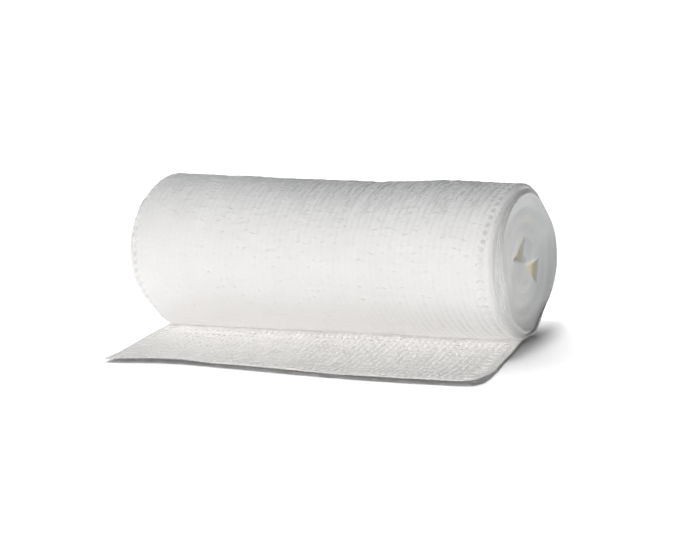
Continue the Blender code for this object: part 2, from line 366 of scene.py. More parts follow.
    def left_face(self, share: Array, angle: Array) -> tuple[Array, Array]:
        """The left end face inside its shoulder, plain, in the same terms as the right one."""
        line = self.left_line(angle)
        radius = share * (self.side(line, angle) - self.shoulder_in)
        out = self.left_face_out - share**4 * (self.left_face_out - self.shoulder_out)
        x = share * line + (1.0 - share) * self.left_row - out
        return x - self.main_turns(radius, angle, -1.0), radius


# --------------------------------------------------------------------------- the knitted strip


@dataclass(frozen=True)
class Strip:
    """The knitted strip laid flat: columns of pillar stitches, tied across by inlaid yarns."""

    width: float = 100.0
    edge_band: float = 2.7
    edge_wales: tuple[float, ...] = (0.35, 1.1, 1.85)
    first_wale: float = 3.9
    inner_wales: int = 57
    courses_round: int = 57
    end_courses: int = 15
    course_length: float = 2.05

    def wales(self) -> Array:
        """Where each column of pillar stitches runs, from the left cut edge."""
        left = np.array(self.edge_wales)
        inner = np.linspace(self.first_wale, self.width - self.first_wale, self.inner_wales)
        return np.concatenate([left, inner, self.width - left[::-1]])

    def is_selvage_gap(self, gap: Array) -> Array:
        """Whether a gap between columns is one of the two that hold the selvage holes."""
        last = len(self.edge_wales)
        return (gap == last - 1) | (gap == last + self.inner_wales - 1)

    def wale_count(self, across: Array) -> Array:
        """A place across the strip, counted in columns."""
        wales = self.wales()
        return np.interp(across, wales, np.arange(len(wales)))


class StripLay(ABC):
    """A surface that the flat strip is laid on."""

    mirrors: bool = False
    # How far off the surface is felt for its slope, in millimetres across and courses along.
    feeler: float = 0.12

    @abstractmethod
    def surface(self, across: Array, course: Array) -> Array:
        """The surface's points.

        Args:
            across: Millimetres from the strip's left cut edge.
            course: Courses along the strip.

        Returns:
            Points as rows of x, y, z in millimetres.
        """

    def settle(self, points: Array) -> Array:
        """Holds points clear of what the strip lies on."""
        return points

    def standing(self, across: Array, course: Array) -> Array:
        """How far the stitches stand out there, from 0 where they are pulled flat to 1."""
        return np.ones_like(across)

    def fray(self, across: Array, course: Array) -> Array:
        """How far loose yarns and fibres stand out there, from 0 to 1."""
        return self.standing(across, course)

    def lay(self, across: Array, course: Array, height: Array) -> Array:
        """Puts flat points on the surface.

        Args:
            across: Millimetres from the strip's left cut edge.
            course: Courses along the strip.
            height: Millimetres out from the surface.

        Returns:
            Points as rows of x, y, z in millimetres.
        """
        step = self.feeler
        here = self.surface(across, course)
        across_step = self.surface(across + step, course) - self.surface(across - step, course)
        along_step = self.surface(across, course + step) - self.surface(across, course - step)
        normal = np.cross(across_step, along_step) * (-1.0 if self.mirrors else 1.0)
        length = np.linalg.norm(normal, axis=1, keepdims=True)
        normal = normal / np.where(length < 1e-9, 1.0, length)
        return self.settle(here + np.asarray(height)[:, None] * normal)


@dataclass(frozen=True)
class LooseLay(StripLay):
    """The unrolled end, lying in front of the roll."""

    strip: Strip = field(default_factory=Strip)
    root: float = 0.9
    left_side: tuple[tuple[float, float], ...] = (
        (-38.5, -48.7), (-36.5, -48.9), (-32.2, -49.2), (-24.9, -49.8), (-17.3, -50.5),
        (-9.6, -51.2), (-4.3, -51.7), (2.0, -51.9),
    )
    right_side: tuple[tuple[float, float], ...] = (
        (-39.0, 51.5), (-33.7, 51.45), (-28.6, 51.0), (-21.1, 49.8), (-14.0, 48.7),
        (-11.3, 48.4), (-6.5, 47.4), (0.0, 46.3), (2.0, 46.0),
    )
    front: tuple[tuple[float, float], ...] = (
        (-50.0, -37.2), (-46.0, -36.8), (-39.5, -35.8), (-34.0, -35.3), (-28.0, -35.2), (-22.2, -35.7),
        (-10.0, -36.6), (6.7, -38.0), (20.0, -38.7), (32.6, -38.9), (47.0, -38.5), (52.0, -38.4),
    )
    corner: float = 4.3
    rest: float = 0.42
    front_curl: float = 0.50
    lift: float = 0.35
    lift_at: float = -33.0
    lift_spread: float = 11.0
    lift_depth: float = 13.0
    lift_front: float = 37.2
    front_curl_rise: Rise = Rise(29.5, 7.0)
    front_curl_fade: Rise = Rise(44.0, 4.0)
    curl: float = 0.35
    curl_right: Rise = Rise(46.5, 5.0)
    curl_front: Rise = Rise(12.0, 14.0)
    ridge: float = 0.40
    ridge_at: float = -9.2
    ridge_spread: float = 2.2
    ridge_left: Rise = Rise(-48.0, 14.0)
    ridge_fade: Rise = Rise(12.0, 26.0)
    free_from: Rise = Rise(5.0, 4.0)
    swell: float = 0.10
    ripple: float = 0.05
    # Where the unevenness is read, off the places where its lattice starts again.
    far: float = 200.0
    lowest: float = 0.05
    standing_right: Rise = Rise(0.18, 0.45)

    def height(self, x: Array, y: Array) -> Array:
        """How high the cloth's upper face lies over the floor."""
        lift = self.lift * bell(x - self.lift_at, self.lift_spread)
        lift = lift * eased((-y - self.lift_front + self.lift_depth) / self.lift_depth)
        ridge = self.ridge * bell(y - self.ridge_at, self.ridge_spread)
        ridge = ridge * (1.0 - 0.8 * self.ridge_fade.at(x)) * self.ridge_left.at(x)
        far_x, far_y = x + self.far, y + self.far
        swell = self.swell * Unevenness(11, 9.0, 6.0).at(far_x, far_y)
        ripple = self.ripple * Unevenness(12, 3.1, 2.6).at(far_x, far_y)
        curl = self.curl * self.curl_right.at(x) * self.curl_front.at(-y)
        front_curl = self.front_curl * self.front_curl_rise.at(-y)
        curl = curl + front_curl * (1.0 - 0.5 * self.front_curl_fade.at(-x))
        free = self.free_from.at(-y)
        return self.rest + lift + ridge + curl + free * (swell + ripple + self.ripple)

    def surface(self, across: Array, course: Array) -> Array:
        """The cloth's upper face. Course 0 is the cut end."""
        share = 1.0 - course / self.strip.end_courses
        u = across / self.strip.width
        x_guess = -50.0 + 101.0 * u
        reach = np.interp(x_guess, [p[0] for p in self.front], [p[1] for p in self.front])
        y = self.root + share * (reach - self.root)
        left = np.interp(y, [p[0] for p in self.left_side], [p[1] for p in self.left_side])
        right = np.interp(y, [p[0] for p in self.right_side], [p[1] for p in self.right_side])
        x = left + u * (right - left)
        # The right front corner is cut round.
        in_x = (x - (right - self.corner)) / self.corner
        in_y = (reach + self.corner - y) / self.corner
        inside = (in_x > 0.0) & (in_y > 0.0)
        in_x, in_y = np.clip(in_x, 0.0, 1.05), np.clip(in_y, 0.0, 1.05)
        round_x = right - self.corner + self.corner * in_x * np.sqrt(1.0 - in_y**2 / 2.0)
        round_y = reach + self.corner - self.corner * in_y * np.sqrt(1.0 - in_x**2 / 2.0)
        x = np.where(inside, round_x, x)
        y = np.where(inside, round_y, y)
        return np.stack([x, y, self.height(x, y)], axis=-1)

    def settle(self, points: Array) -> Array:
        """Keeps every point a little above the floor."""
        points[:, 2] = np.maximum(points[:, 2], self.lowest)
        return points

    def standing(self, across: Array, course: Array) -> Array:
        """The stitches stand out towards the right and near the roll."""
        right = self.standing_right.at(across / self.strip.width)
        return 0.03 + right * (0.72 + 0.25 * course / self.strip.end_courses)


@dataclass(frozen=True)
class TurnLay(StripLay):
    """The outermost turn: up behind the roll from the floor, over it, and down in front."""

    form: WoundForm = field(default_factory=WoundForm)
    strip: Strip = field(default_factory=Strip)
    loose: LooseLay = field(default_factory=LooseLay)
    mirrors = True
    left_bend: tuple[tuple[float, float, float], ...] = (
        (-1.0, -1.0, 0.0), (0.0, 0.0, 0.0), (1.03, 1.0, 0.25), (2.17, 1.9, 0.95), (3.39, 2.6, 1.95),
    )
    over_cloth: float = 0.16
    standing_round: Sector = Sector(354.0, 46.0)
    standing_right: Rise = Rise(14.0, 50.0)
    fray_round: Sector = Sector(27.0, 27.0)
    fray_right: Rise = Rise(10.0, 40.0)

    def angle(self, course: Array) -> Array:
        """How far round the roll a course lies."""
        return self.form.step_angle + 360.0 * course / self.strip.courses_round

    def standing(self, across: Array, course: Array) -> Array:
        """The stitches stand out over the top, and most to its right."""
        top = self.standing_round.at(self.angle(course))
        return 0.06 + 0.94 * top * (0.35 + 0.65 * self.standing_right.at(across))

    def fray(self, across: Array, course: Array) -> Array:
        """Loose yarns stand out most over the upper front."""
        upper = self.fray_round.at(self.angle(course))
        return 0.12 + 0.88 * upper * (0.8 + 0.2 * self.fray_right.at(across))

    def pressed(self, x: Array, radius: Array, angle: Array) -> Array:
        """Points at this radius and angle, pressed flat where they would go through the floor."""
        turn = np.radians(angle)
        y = -radius * np.sin(turn)
        z = self.form.mean_radius(x) + radius * np.cos(turn)
        return self.settle(np.stack([x, y, z], axis=-1))

    def settle(self, points: Array) -> Array:
        """Holds points over the floor behind, and over the loose end in front."""
        x, y, z = points[..., 0], points[..., 1], points[..., 2]
        low = (z < 4.0) & (y < 0.6)
        floor = np.where(low, self.loose.height(x, y) + self.over_cloth, 0.0)
        points[..., 2] = np.maximum(z, floor)
        return points

    def surface(self, across: Array, course: Array) -> Array:
        """The outermost turn's outer face."""
        angle = self.angle(course)
        band, width = self.strip.edge_band, self.strip.width
        left, right = self.form.left_line(angle), self.form.right_line(angle)
        share = np.clip((across - band) / (width - 2.0 * band), 0.0, 1.0)
        x_line = left + share * (right - left)
        past = np.clip(band - across, 0.0, None)
        rows = np.array(self.left_bend)
        x = x_line - np.interp(past, rows[:, 0], rows[:, 1])
        radius = self.form.side(x_line, angle) - np.interp(past, rows[:, 0], rows[:, 2])
        beyond = np.clip((across - width + band) / band, 0.0, None)
        edge_x, edge_radius = self.form.right_edge(angle)
        x = x + beyond * (edge_x - right)
        radius = radius - beyond**1.6 * (self.form.side(right, angle) - edge_radius)
        return self.pressed(x, radius, angle)


# --------------------------------------------------------------------------- the two ends


class End(Enum):
    """An end of the roll, and which way along X it faces."""

    RIGHT = 1
    LEFT = -1


@dataclass(frozen=True)
class EndProfile:
    """How the wound turns bend over from the side to an end face."""

    form: WoundForm = field(default_factory=WoundForm)
    under: float = 0.17

    def knots(self, end: End, angle: Array) -> list[tuple[Array, Array]]:
        """The bend's guide points at each angle, from the side inward, as X and radius."""
        form = self.form
        if end is End.RIGHT:
            line = form.right_line(angle)
            side = form.side(line, angle)
            edge_x, edge_r = form.right_edge(angle)
            lip_x, lip_r = form.right_lip(angle)
            inner_share = (lip_r - 1.6) / (lip_r - form.lip_width)
            return [
                (line - 1.5, side - self.under),
                (line, side - self.under),
                (line + 0.55 * (edge_x - line), side - 0.35 * (side - edge_r) - self.under + 0.05),
                (edge_x - 0.12, edge_r - 0.3),
                (edge_x + 0.25 * (lip_x - edge_x), edge_r - 0.8),
                (lip_x - form.lip_back, lip_r + 0.55),
                (lip_x, lip_r),
                (lip_x - form.lip_back, lip_r - form.lip_width),
                form.right_face(inner_share, angle),
            ]
        line = form.left_line(angle)
        side = form.side(line, angle)
        inner = side - form.shoulder_in
        return [
            (line + 1.5, side - self.under),
            (line, side - self.under),
            (line - 0.9, side - 0.25 - 0.35),
            (line - 1.7, side - 0.95 - 0.3),
            (line - 2.35, side - 1.95 - 0.1),
            (line - 2.5, side - 2.6),
            (line - 3.2, side - 3.2),
            (line - form.shoulder_out, inner),
            form.left_face((inner - 1.0) / inner, angle),
        ]

    def at(self, end: End, share: Array, angle: Array) -> tuple[Array, Array]:
        """A smooth curve through the guide points.

        Args:
            end: Which end.
            share: 0 at the selvage row and 1 where the face begins.
            angle: Degrees round from the top by the front.

        Returns:
            The curve's X and radius.
        """
        knots = self.knots(end, angle)
        xs = np.stack([np.broadcast_to(k[0], np.shape(angle)) for k in knots])
        rs = np.stack([np.broadcast_to(k[1], np.shape(angle)) for k in knots])
        last = len(knots) - 3
        place = np.clip(np.broadcast_to(share, np.shape(angle)), 0.0, 1.0) * last
        cell = np.minimum(place.astype(int), last - 1)
        s = place - cell
        column = np.arange(len(angle))
        weights = (
            -0.5 * s + s**2 - 0.5 * s**3,
            1.0 - 2.5 * s**2 + 1.5 * s**3,
            0.5 * s + 2.0 * s**2 - 1.5 * s**3,
            -0.5 * s**2 + 0.5 * s**3,
        )
        x = sum(w * xs[cell + i, column] for i, w in enumerate(weights))
        r = sum(w * rs[cell + i, column] for i, w in enumerate(weights))
        return x, r


@dataclass(frozen=True)
class EdgeLay(StripLay):
    """The selvages of the next few turns, which step out to the lip one after the other."""

    end: End = End.RIGHT
    turns: float = 8.0
    first: float = 0.34
    last: float = 0.94
    start_angle: float = 60.0
    bend_length: float = 7.0
    profile: EndProfile = field(default_factory=EndProfile)
    outer: TurnLay = field(default_factory=TurnLay)

    @property
    def mirrors(self) -> bool:
        """Whether the strip's measures turn over on this end."""
        return self.end is End.RIGHT

    def surface(self, across: Array, course: Array) -> Array:
        """A narrow spiral band over the bend. Across is measured from the middle of a selvage."""
        per_turn = self.outer.strip.courses_round
        angle = self.outer.form.step_angle + self.start_angle + 360.0 * course / per_turn
        share = self.first + (self.last - self.first) * course / (per_turn * self.turns)
        x, radius = self.profile.at(self.end, share + across / self.bend_length, angle)
        return self.outer.pressed(x, radius, angle)

    def settle(self, points: Array) -> Array:
        """Holds points over the floor and the loose end."""
        return self.outer.settle(points)


# --------------------------------------------------------------------------- mesh helpers


def leave_edit_mode() -> None:
    """Goes back to object mode with nothing selected."""
    if bpy.context.mode != "OBJECT":
        bpy.ops.object.mode_set(mode="OBJECT")
    bpy.ops.object.select_all(action="DESELECT")


def make_active(obj: bpy.types.Object) -> None:
    """Selects one object alone and makes it the active one."""
    leave_edit_mode()
    obj.select_set(True)
    bpy.context.view_layer.objects.active = obj


def edit_all(obj: bpy.types.Object) -> None:
    """Opens an object in edit mode with all of it selected."""
    make_active(obj)
    bpy.ops.object.mode_set(mode="EDIT")
    bpy.ops.mesh.select_all(action="SELECT")


def apply_modifiers(obj: bpy.types.Object) -> None:
    """Applies all of an object's modifiers, first to last."""
    make_active(obj)
    for modifier in list(obj.modifiers):
        bpy.ops.object.modifier_apply(modifier=modifier.name)


def read_points(mesh: bpy.types.Mesh) -> Array:
    """A mesh's points, as rows of three."""
    points = np.empty(len(mesh.vertices) * 3, np.float32)
    mesh.vertices.foreach_get("co", points)
    return points.reshape(-1, 3).astype(float)


def write_points(mesh: bpy.types.Mesh, points: Array) -> None:
    """Sets a mesh's points from rows of three."""
    mesh.vertices.foreach_set("co", points.astype(np.float32).ravel())
    mesh.update()


def loop_corners(mesh: bpy.types.Mesh) -> Array:
    """The vertex that each face corner stands on."""
    corners = np.empty(len(mesh.loops), np.int32)
    mesh.loops.foreach_get("vertex_index", corners)
    return corners


def paint_uv(mesh: bpy.types.Mesh, name: str, corner_values: Array) -> None:
    """Writes a UV map from one pair of numbers for each face corner."""
    layer = mesh.uv_layers.get(name) or mesh.uv_layers.new(name=name)
    layer.data.foreach_set("uv", corner_values.astype(np.float32).ravel())


def paint_points(mesh: bpy.types.Mesh, name: str, values: Array) -> None:
    """Writes a number for each point as an attribute."""
    attribute = mesh.attributes.new(name=name, type="FLOAT", domain="POINT")
    attribute.data.foreach_set("value", values.astype(np.float32))


@dataclass(frozen=True)
class Dressing:
    """What finishes a piece: its material and the frame it rides on. Its slot in the record is held but
    not used.
    """

    material: bpy.types.Material
    slot: str

    def put_on(self, obj: bpy.types.Object) -> bpy.types.Object:
        """Gives a finished mesh its material and its place in the frame.

        Args:
            obj: The piece.

        Returns:
            The same piece.
        """
        obj.data.materials.clear()
        obj.data.materials.append(self.material)
        obj.data.shade_smooth()
        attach(obj, "root")
        count = sum(len(face.vertices) - 2 for face in obj.data.polygons)
        log.info("%s: %d triangles", obj.name, count)
        return obj


# Where the roll's axis and the floor meet the frame's own middle.
FRAME_PLACE = np.array([1.065, 8.88, 0.0])


def finish_points(mesh: bpy.types.Mesh, points: Array) -> None:
    """Writes millimetre points, seen from the roll's axis, to a mesh in the frame."""
    write_points(mesh, (points + FRAME_PLACE) * MM)


# --------------------------------------------------------------------------- stitches


@dataclass(frozen=True)
class PillarStitch:
    """One stitch of a column: two thick strands that pass round each other."""

    strand: float = 0.21
    orbit_wide: float = 0.30
    orbit_high: float = 0.12
    flatness: float = 0.42
    sides: int = 6
    steps: int = 4
    twist: float = 1.0
    spacing: float = 10.0

    def place(self, share: float) -> tuple[float, float]:
        """Where the first strand's middle lies across and up, this share of a stitch along."""
        turn = math.pi * share
        across = self.twist * self.orbit_wide * math.cos(turn)
        return across, self.orbit_high * math.sin(turn)

    def model(self, name: str) -> bpy.types.Object:
        """Models the stitch flat, one course long.

        Args:
            name: The new object's name.

        Returns:
            The stitch, open at both ends so that the next one joins on.
        """
        leave_edit_mode()
        start_x, start_z = self.place(0.0)
        bpy.ops.mesh.primitive_circle_add(
            vertices=self.sides,
            radius=self.strand,
            fill_type="NOTHING",
            rotation=(math.pi / 2.0, 0.0, 0.0),
        )
        stitch = bpy.context.active_object
        stitch.name = name
        bpy.ops.object.transform_apply(location=False, rotation=True, scale=False)
        edit_all(stitch)
        bpy.ops.transform.translate(value=(start_x, 0.0, start_z))
        for step in range(1, self.steps + 1):
            x, z = self.place(step / self.steps)
            move = (x - start_x, 1.0 / self.steps, z - start_z)
            bpy.ops.mesh.extrude_region_move(TRANSFORM_OT_translate={"value": move})
            start_x, start_z = x, z
        bpy.ops.mesh.select_all(action="SELECT")
        bpy.ops.mesh.duplicate()
        bpy.ops.transform.rotate(value=math.pi, orient_axis="Y", center_override=(0.0, 0.5, 0.0))
        bpy.ops.mesh.select_all(action="SELECT")
        bpy.ops.transform.resize(value=(1.0, 1.0, self.flatness), center_override=(0.0, 0.0, 0.0))
        leave_edit_mode()
        return stitch


@dataclass(frozen=True)
class InlaidYarn:
    """One yarn laid in from a column to the next: a soft low hump."""

    thickness: float = 0.07
    sides: int = 4
    steps: int = 4
    hump: float = 0.05
    spacing: float = 2.0

    def model(self, name: str) -> bpy.types.Object:
        """Models the yarn flat, as long as one gap is wide.

        Args:
            name: The new object's name.

        Returns:
            The yarn, running from 0 to 1 across.
        """
        leave_edit_mode()
        bpy.ops.mesh.primitive_circle_add(
            vertices=self.sides,
            radius=self.thickness,
            fill_type="NOTHING",
            rotation=(0.0, math.pi / 2.0, 0.0),
        )
        yarn = bpy.context.active_object
        yarn.name = name
        bpy.ops.object.transform_apply(location=False, rotation=True, scale=False)
        edit_all(yarn)
        before = 0.0
        for step in range(1, self.steps + 1):
            rise = self.hump * math.sin(math.pi * step / self.steps)
            move = (1.0 / self.steps, 0.0, rise - before)
            bpy.ops.mesh.extrude_region_move(TRANSFORM_OT_translate={"value": move})
            before = rise
        leave_edit_mode()
        return yarn


def repeat(obj: bpy.types.Object, columns: int, spacing: float, courses: int) -> None:
    """Copies a stitch over a stretch of the flat strip, joins what meets and closes what is open.

    Args:
        obj: The stitch.
        columns: How many stand side by side.
        spacing: How far apart they stand, in the stitch's own unit.
        courses: How many follow each other.
    """
    for name, count, offset in (
        ("courses", courses, (0.0, 1.0, 0.0)),
        ("columns", columns, (spacing, 0.0, 0.0)),
    ):
        array = obj.modifiers.new(name, "ARRAY")
        array.count = count
        array.use_relative_offset = False
        array.use_constant_offset = True
        array.constant_offset_displace = offset
    apply_modifiers(obj)
    edit_all(obj)
    bpy.ops.mesh.remove_doubles(threshold=0.0005)
    bpy.ops.mesh.select_all(action="DESELECT")
    bpy.ops.mesh.select_mode(type="EDGE")
    bpy.ops.mesh.select_non_manifold()
    bpy.ops.mesh.edge_face_add()
    bpy.ops.mesh.select_mode(type="VERT")
    bpy.ops.mesh.select_all(action="SELECT")
    bpy.ops.mesh.normals_make_consistent(inside=False)
    leave_edit_mode()


def turn_over(obj: bpy.types.Object) -> None:
    """Turns all faces of a piece round, where laying it has mirrored it."""
    edit_all(obj)
    bpy.ops.mesh.flip_normals()
    leave_edit_mode()


@dataclass(frozen=True)
class Slackness:
    """How unevenly the stitches lie, in millimetres and in courses."""

    sway: float = 0.16
    slip: float = 0.16
    rise: float = 0.07
    swell: float = 0.22
    sink: float = 0.32
    end_sink: float = 0.0
    edge: float = 2.5
    edge_share: float = 0.72


@dataclass(frozen=True)
class Knitting:
    """Lays repeated stitches on a surface."""

    strip: Strip
    lay: StripLay
    slackness: Slackness = field(default_factory=Slackness)
    seed: int = 1
    # Unevenness is read this many times as far apart, so that neighbouring columns differ.
    apart: float = 7.3
    yarn_slack: Rise = Rise(0.40, 0.60)
    fibre_slack: Rise = Rise(0.25, 0.75)
    hole_arc: Rise = Rise(40.0, 20.0)

    def columns(
        self, name: str, stitch: PillarStitch, wales: Array, courses: int, height: float
    ) -> bpy.types.Object:
        """Columns of pillar stitches.

        Args:
            name: The piece's name.
            stitch: The stitch that is repeated.
            wales: Where each column runs across the strip.
            courses: How many courses are laid.
            height: How far over the surface their middle lies.

        Returns:
            The laid piece.
        """
        piece = stitch.model(name)
        repeat(piece, len(wales), stitch.spacing, courses)
        flat = read_points(piece.data)
        index = np.clip(np.round(flat[:, 0] / stitch.spacing).astype(int), 0, len(wales) - 1)
        offset = flat[:, 0] - index * stitch.spacing
        wale, course = wales[index], flat[:, 1]
        loose = self.slackness
        far = wale * self.apart
        width = 1.0 + loose.swell * Unevenness(self.seed, 1.7, 0.9).at(far, course)
        sway = loose.sway * Unevenness(self.seed + 1, 11.0, 2.7).at(far, course)
        sway = sway * eased(course / 1.5)
        slip = loose.slip * Unevenness(self.seed + 2, 11.0, 1.9).at(far, course)
        rise = loose.rise * Unevenness(self.seed + 3, 11.0, 1.3).at(far, course)
        outermost = (wale < loose.edge) | (wale > self.strip.width - loose.edge)
        narrow = np.where(outermost, loose.edge_share, 1.0)
        across = wale + offset * width * narrow + sway * narrow
        moved = course + slip * np.sin(np.pi * np.clip(course / courses, 0.0, 1.0))
        level = height - loose.end_sink * (1.0 - eased(course / 0.7))
        level = level - loose.sink * (1.0 - self.lay.standing(across, course)) ** 2
        points = self.lay.lay(across, moved, level + flat[:, 2] * (0.5 + 0.5 * width) + rise)
        return self.finished(piece, points, across, course)

    def in_gaps(
        self, name: str, yarn: InlaidYarn, courses: int
    ) -> tuple[bpy.types.Object, Array, Array, Array]:
        """Repeats a yarn flat over all the gaps between columns.

        Args:
            name: The piece's name.
            yarn: The yarn that is repeated.
            courses: How many courses are laid.

        Returns:
            The piece, its flat points, and each point's gap and share of the way over it.
        """
        gaps = len(self.strip.wales()) - 1
        piece = yarn.model(name)
        repeat(piece, gaps, yarn.spacing, courses)
        flat = read_points(piece.data)
        gap = np.clip(np.floor((flat[:, 0] + 0.25) / yarn.spacing).astype(int), 0, gaps - 1)
        return piece, flat, gap, np.clip(flat[:, 0] - gap * yarn.spacing, 0.0, 1.0)

    def inlays(
        self,
        name: str,
        yarn: InlaidYarn,
        courses: int,
        height: float,
        slant: float = 0.22,
        arch: float = -0.32,
        stray: float = 0.34,
    ) -> bpy.types.Object:
        """Yarns laid in across all the gaps between columns.

        Args:
            name: The piece's name.
            yarn: The yarn that is repeated.
            courses: How many courses are laid.
            height: How far over the surface their ends lie.
            slant: How far along the strip a yarn drifts on its way, in courses.
            arch: How far it arches over a selvage hole, in courses.
            stray: How high the loosest yarns stand out, in millimetres.

        Returns:
            The laid piece.
        """
        wales = self.strip.wales()
        piece, flat, gap, share = self.in_gaps(name, yarn, courses)
        course_index = np.round(flat[:, 1])
        far = wales[gap] * self.apart
        selvage = self.strip.is_selvage_gap(gap)
        across = wales[gap] + share * (wales[gap + 1] - wales[gap])
        side = np.where((gap + course_index) % 2 == 0, 1.0, -1.0)
        uneven = 1.0 + Unevenness(self.seed + 5, 3.1, 1.1).at(far, flat[:, 1])
        drift = slant * (share - 0.5) * side * uneven
        drift = np.where(selvage, arch * np.sin(np.pi * share), drift)
        thick = 1.0 + 0.45 * Unevenness(self.seed + 6, 2.3, 0.8).at(far, course_index)
        lean = 0.18 * Unevenness(self.seed + 7, 2.9, 0.9).at(far, course_index)
        lean = lean * np.where(selvage, 0.4, 1.6)
        chance = np.random.RandomState(self.seed + 8).uniform(0.0, 1.0, (len(wales) - 1, courses + 2))
        slack = chance[gap, course_index.astype(int) + 1]
        loosened = self.yarn_slack.at(slack)
        bowed = np.sin(np.pi * share)
        fray = self.lay.fray(across, flat[:, 1])
        lift = -0.10 + stray * fray * loosened * bowed
        hump = yarn.hump * bowed
        thick = thick * np.where(selvage, 1.5, 1.0 + 0.25 * loosened)
        lift = np.where(selvage, (0.04 + 0.12 * self.hole_arc.at(across)) * bowed, lift)
        body = (flat[:, 2] - hump) * thick
        along = course_index + 0.5 + (flat[:, 1] - course_index) * thick / self.strip.course_length
        along = along + drift + lean
        points = self.lay.lay(across, along, height + hump + body + lift)
        return self.finished(piece, points, across, flat[:, 1])

    def fibres(
        self, name: str, fibre: InlaidYarn, courses: int, height: float, stray: float
    ) -> bpy.types.Object:
        """Loose fibres that lie about at random, nearly across the strip.

        Args:
            name: The piece's name.
            fibre: The fibre that is repeated.
            courses: How many courses they are strewn over.
            height: How far over the surface their ends lie.
            stray: How high the loosest ones stand out, in millimetres.

        Returns:
            The laid piece.
        """
        wales = self.strip.wales()
        piece, flat, gap, share = self.in_gaps(name, fibre, courses)
        row = np.round(flat[:, 1]).astype(int)
        draws = (5, len(wales) - 1, courses + 2)
        strewn = np.random.RandomState(self.seed + 40).uniform(0.0, 1.0, draws)
        shift, place, slope, slack, length = strewn[:, gap, row + 1]
        bowed = np.sin(np.pi * share)
        across = wales[gap] + 1.7 * (shift - 0.5) + 1.6 * (0.45 + length) * (share - 0.5)
        across = np.clip(across, 0.4, self.strip.width - 0.4)
        tilt = 0.45 * (slope - 0.5) * (share - 0.5) + 0.12 * (length - 0.5) * bowed
        along = row + place + tilt + (flat[:, 1] - row) / self.strip.course_length
        along = np.clip(along, 0.02, courses - 0.02)
        fray = self.lay.fray(across, along)
        rise = flat[:, 2] - 0.10 + stray * fray * self.fibre_slack.at(slack) * bowed
        return self.finished(piece, self.lay.lay(across, along, height + rise), across, along)

    def finished(
        self, piece: bpy.types.Object, points: Array, across: Array, course: Array
    ) -> bpy.types.Object:
        """Writes the laid points and the strip's own measures to the piece."""
        mesh = piece.data
        finish_points(mesh, points)
        corners = loop_corners(mesh)
        paint_uv(mesh, "strip", np.stack([across[corners], course[corners]], axis=-1))
        if self.lay.mirrors:
            turn_over(piece)
        return piece


# --------------------------------------------------------------------------- finishes


Socket = bpy.types.NodeSocket


class Bench:
    """A workbench for a node tree: adds nodes and joins them by name."""

    node_step = 180.0

    def __init__(self, tree: bpy.types.NodeTree) -> None:
        """Opens a tree."""
        self.tree = tree
        self.column = 0

    def join(self, value: object, node: bpy.types.Node, name: str | int) -> None:
        """Joins a socket to a node's input, or sets a plain value there."""
        if isinstance(value, Socket):
            self.tree.links.new(value, node.inputs[name])
        else:
            node.inputs[name].default_value = value

    def add(self, kind: str, settings: dict | None = None, **inputs: object) -> bpy.types.Node:
        """Adds a node.

        Args:
            kind: The node's type.
            settings: Properties to set on it.
            **inputs: Values or sockets for its inputs, by name or by index as _0, _1.

        Returns:
            The node.
        """
        node = self.tree.nodes.new(kind)
        node.location = (self.node_step * self.column, 0.0)
        self.column += 1
        for key, value in (settings or {}).items():
            setattr(node, key, value)
        for key, value in inputs.items():
            self.join(value, node, int(key[1:]) if key[1:].isdigit() else key.replace("_", " "))
        return node

    def maths(self, operation: str, a: object, b: object = 0.0, clamp: bool = False) -> Socket:
        """A Math node's result."""
        node = self.add("ShaderNodeMath", {"operation": operation, "use_clamp": clamp}, _0=a, _1=b)
        return node.outputs[0]

    def times(self, a: object, b: object) -> Socket:
        """One value times another."""
        return self.maths("MULTIPLY", a, b)

    def plus(self, a: object, b: object) -> Socket:
        """The sum of two values."""
        return self.maths("ADD", a, b)

    def minus(self, a: object, b: object) -> Socket:
        """One value less another."""
        return self.maths("SUBTRACT", a, b)

    def size(self, a: object) -> Socket:
        """A value without its sign."""
        return self.maths("ABSOLUTE", a)

    def blend(self, factor: object, a: object, b: object) -> Socket:
        """A colour between two others."""
        return self.add("ShaderNodeMix", {"data_type": "RGBA"}, _0=factor, _6=a, _7=b).outputs[2]

    def soft_step(self, value: object, low: float, high: float) -> Socket:
        """0 under low, 1 over high, and eased between."""
        settings = {"interpolation_type": "SMOOTHSTEP"}
        node = self.add("ShaderNodeMapRange", settings, Value=value, From_Min=low, From_Max=high)
        return node.outputs["Result"]

    def noise(self, place: Socket, scale: object, detail: float, roughness: float) -> Socket:
        """A noise's value."""
        node = self.add(
            "ShaderNodeTexNoise", None, Vector=place, Scale=scale, Detail=detail, Roughness=roughness
        )
        return node.outputs["Fac"]

    def stretched(self, place: Socket, scale: tuple[float, float, float]) -> Socket:
        """A pattern's place, scaled along each axis."""
        return self.add("ShaderNodeMapping", None, Vector=place, Scale=scale).outputs[0]

    def uv(self, name: str) -> Socket:
        """One of the piece's own UV maps."""
        return self.add("ShaderNodeUVMap", {"uv_map": name}).outputs[0]

    def attribute(self, name: str) -> Socket:
        """A number that the mesh holds for each point."""
        return self.add("ShaderNodeAttribute", {"attribute_name": name}).outputs["Fac"]


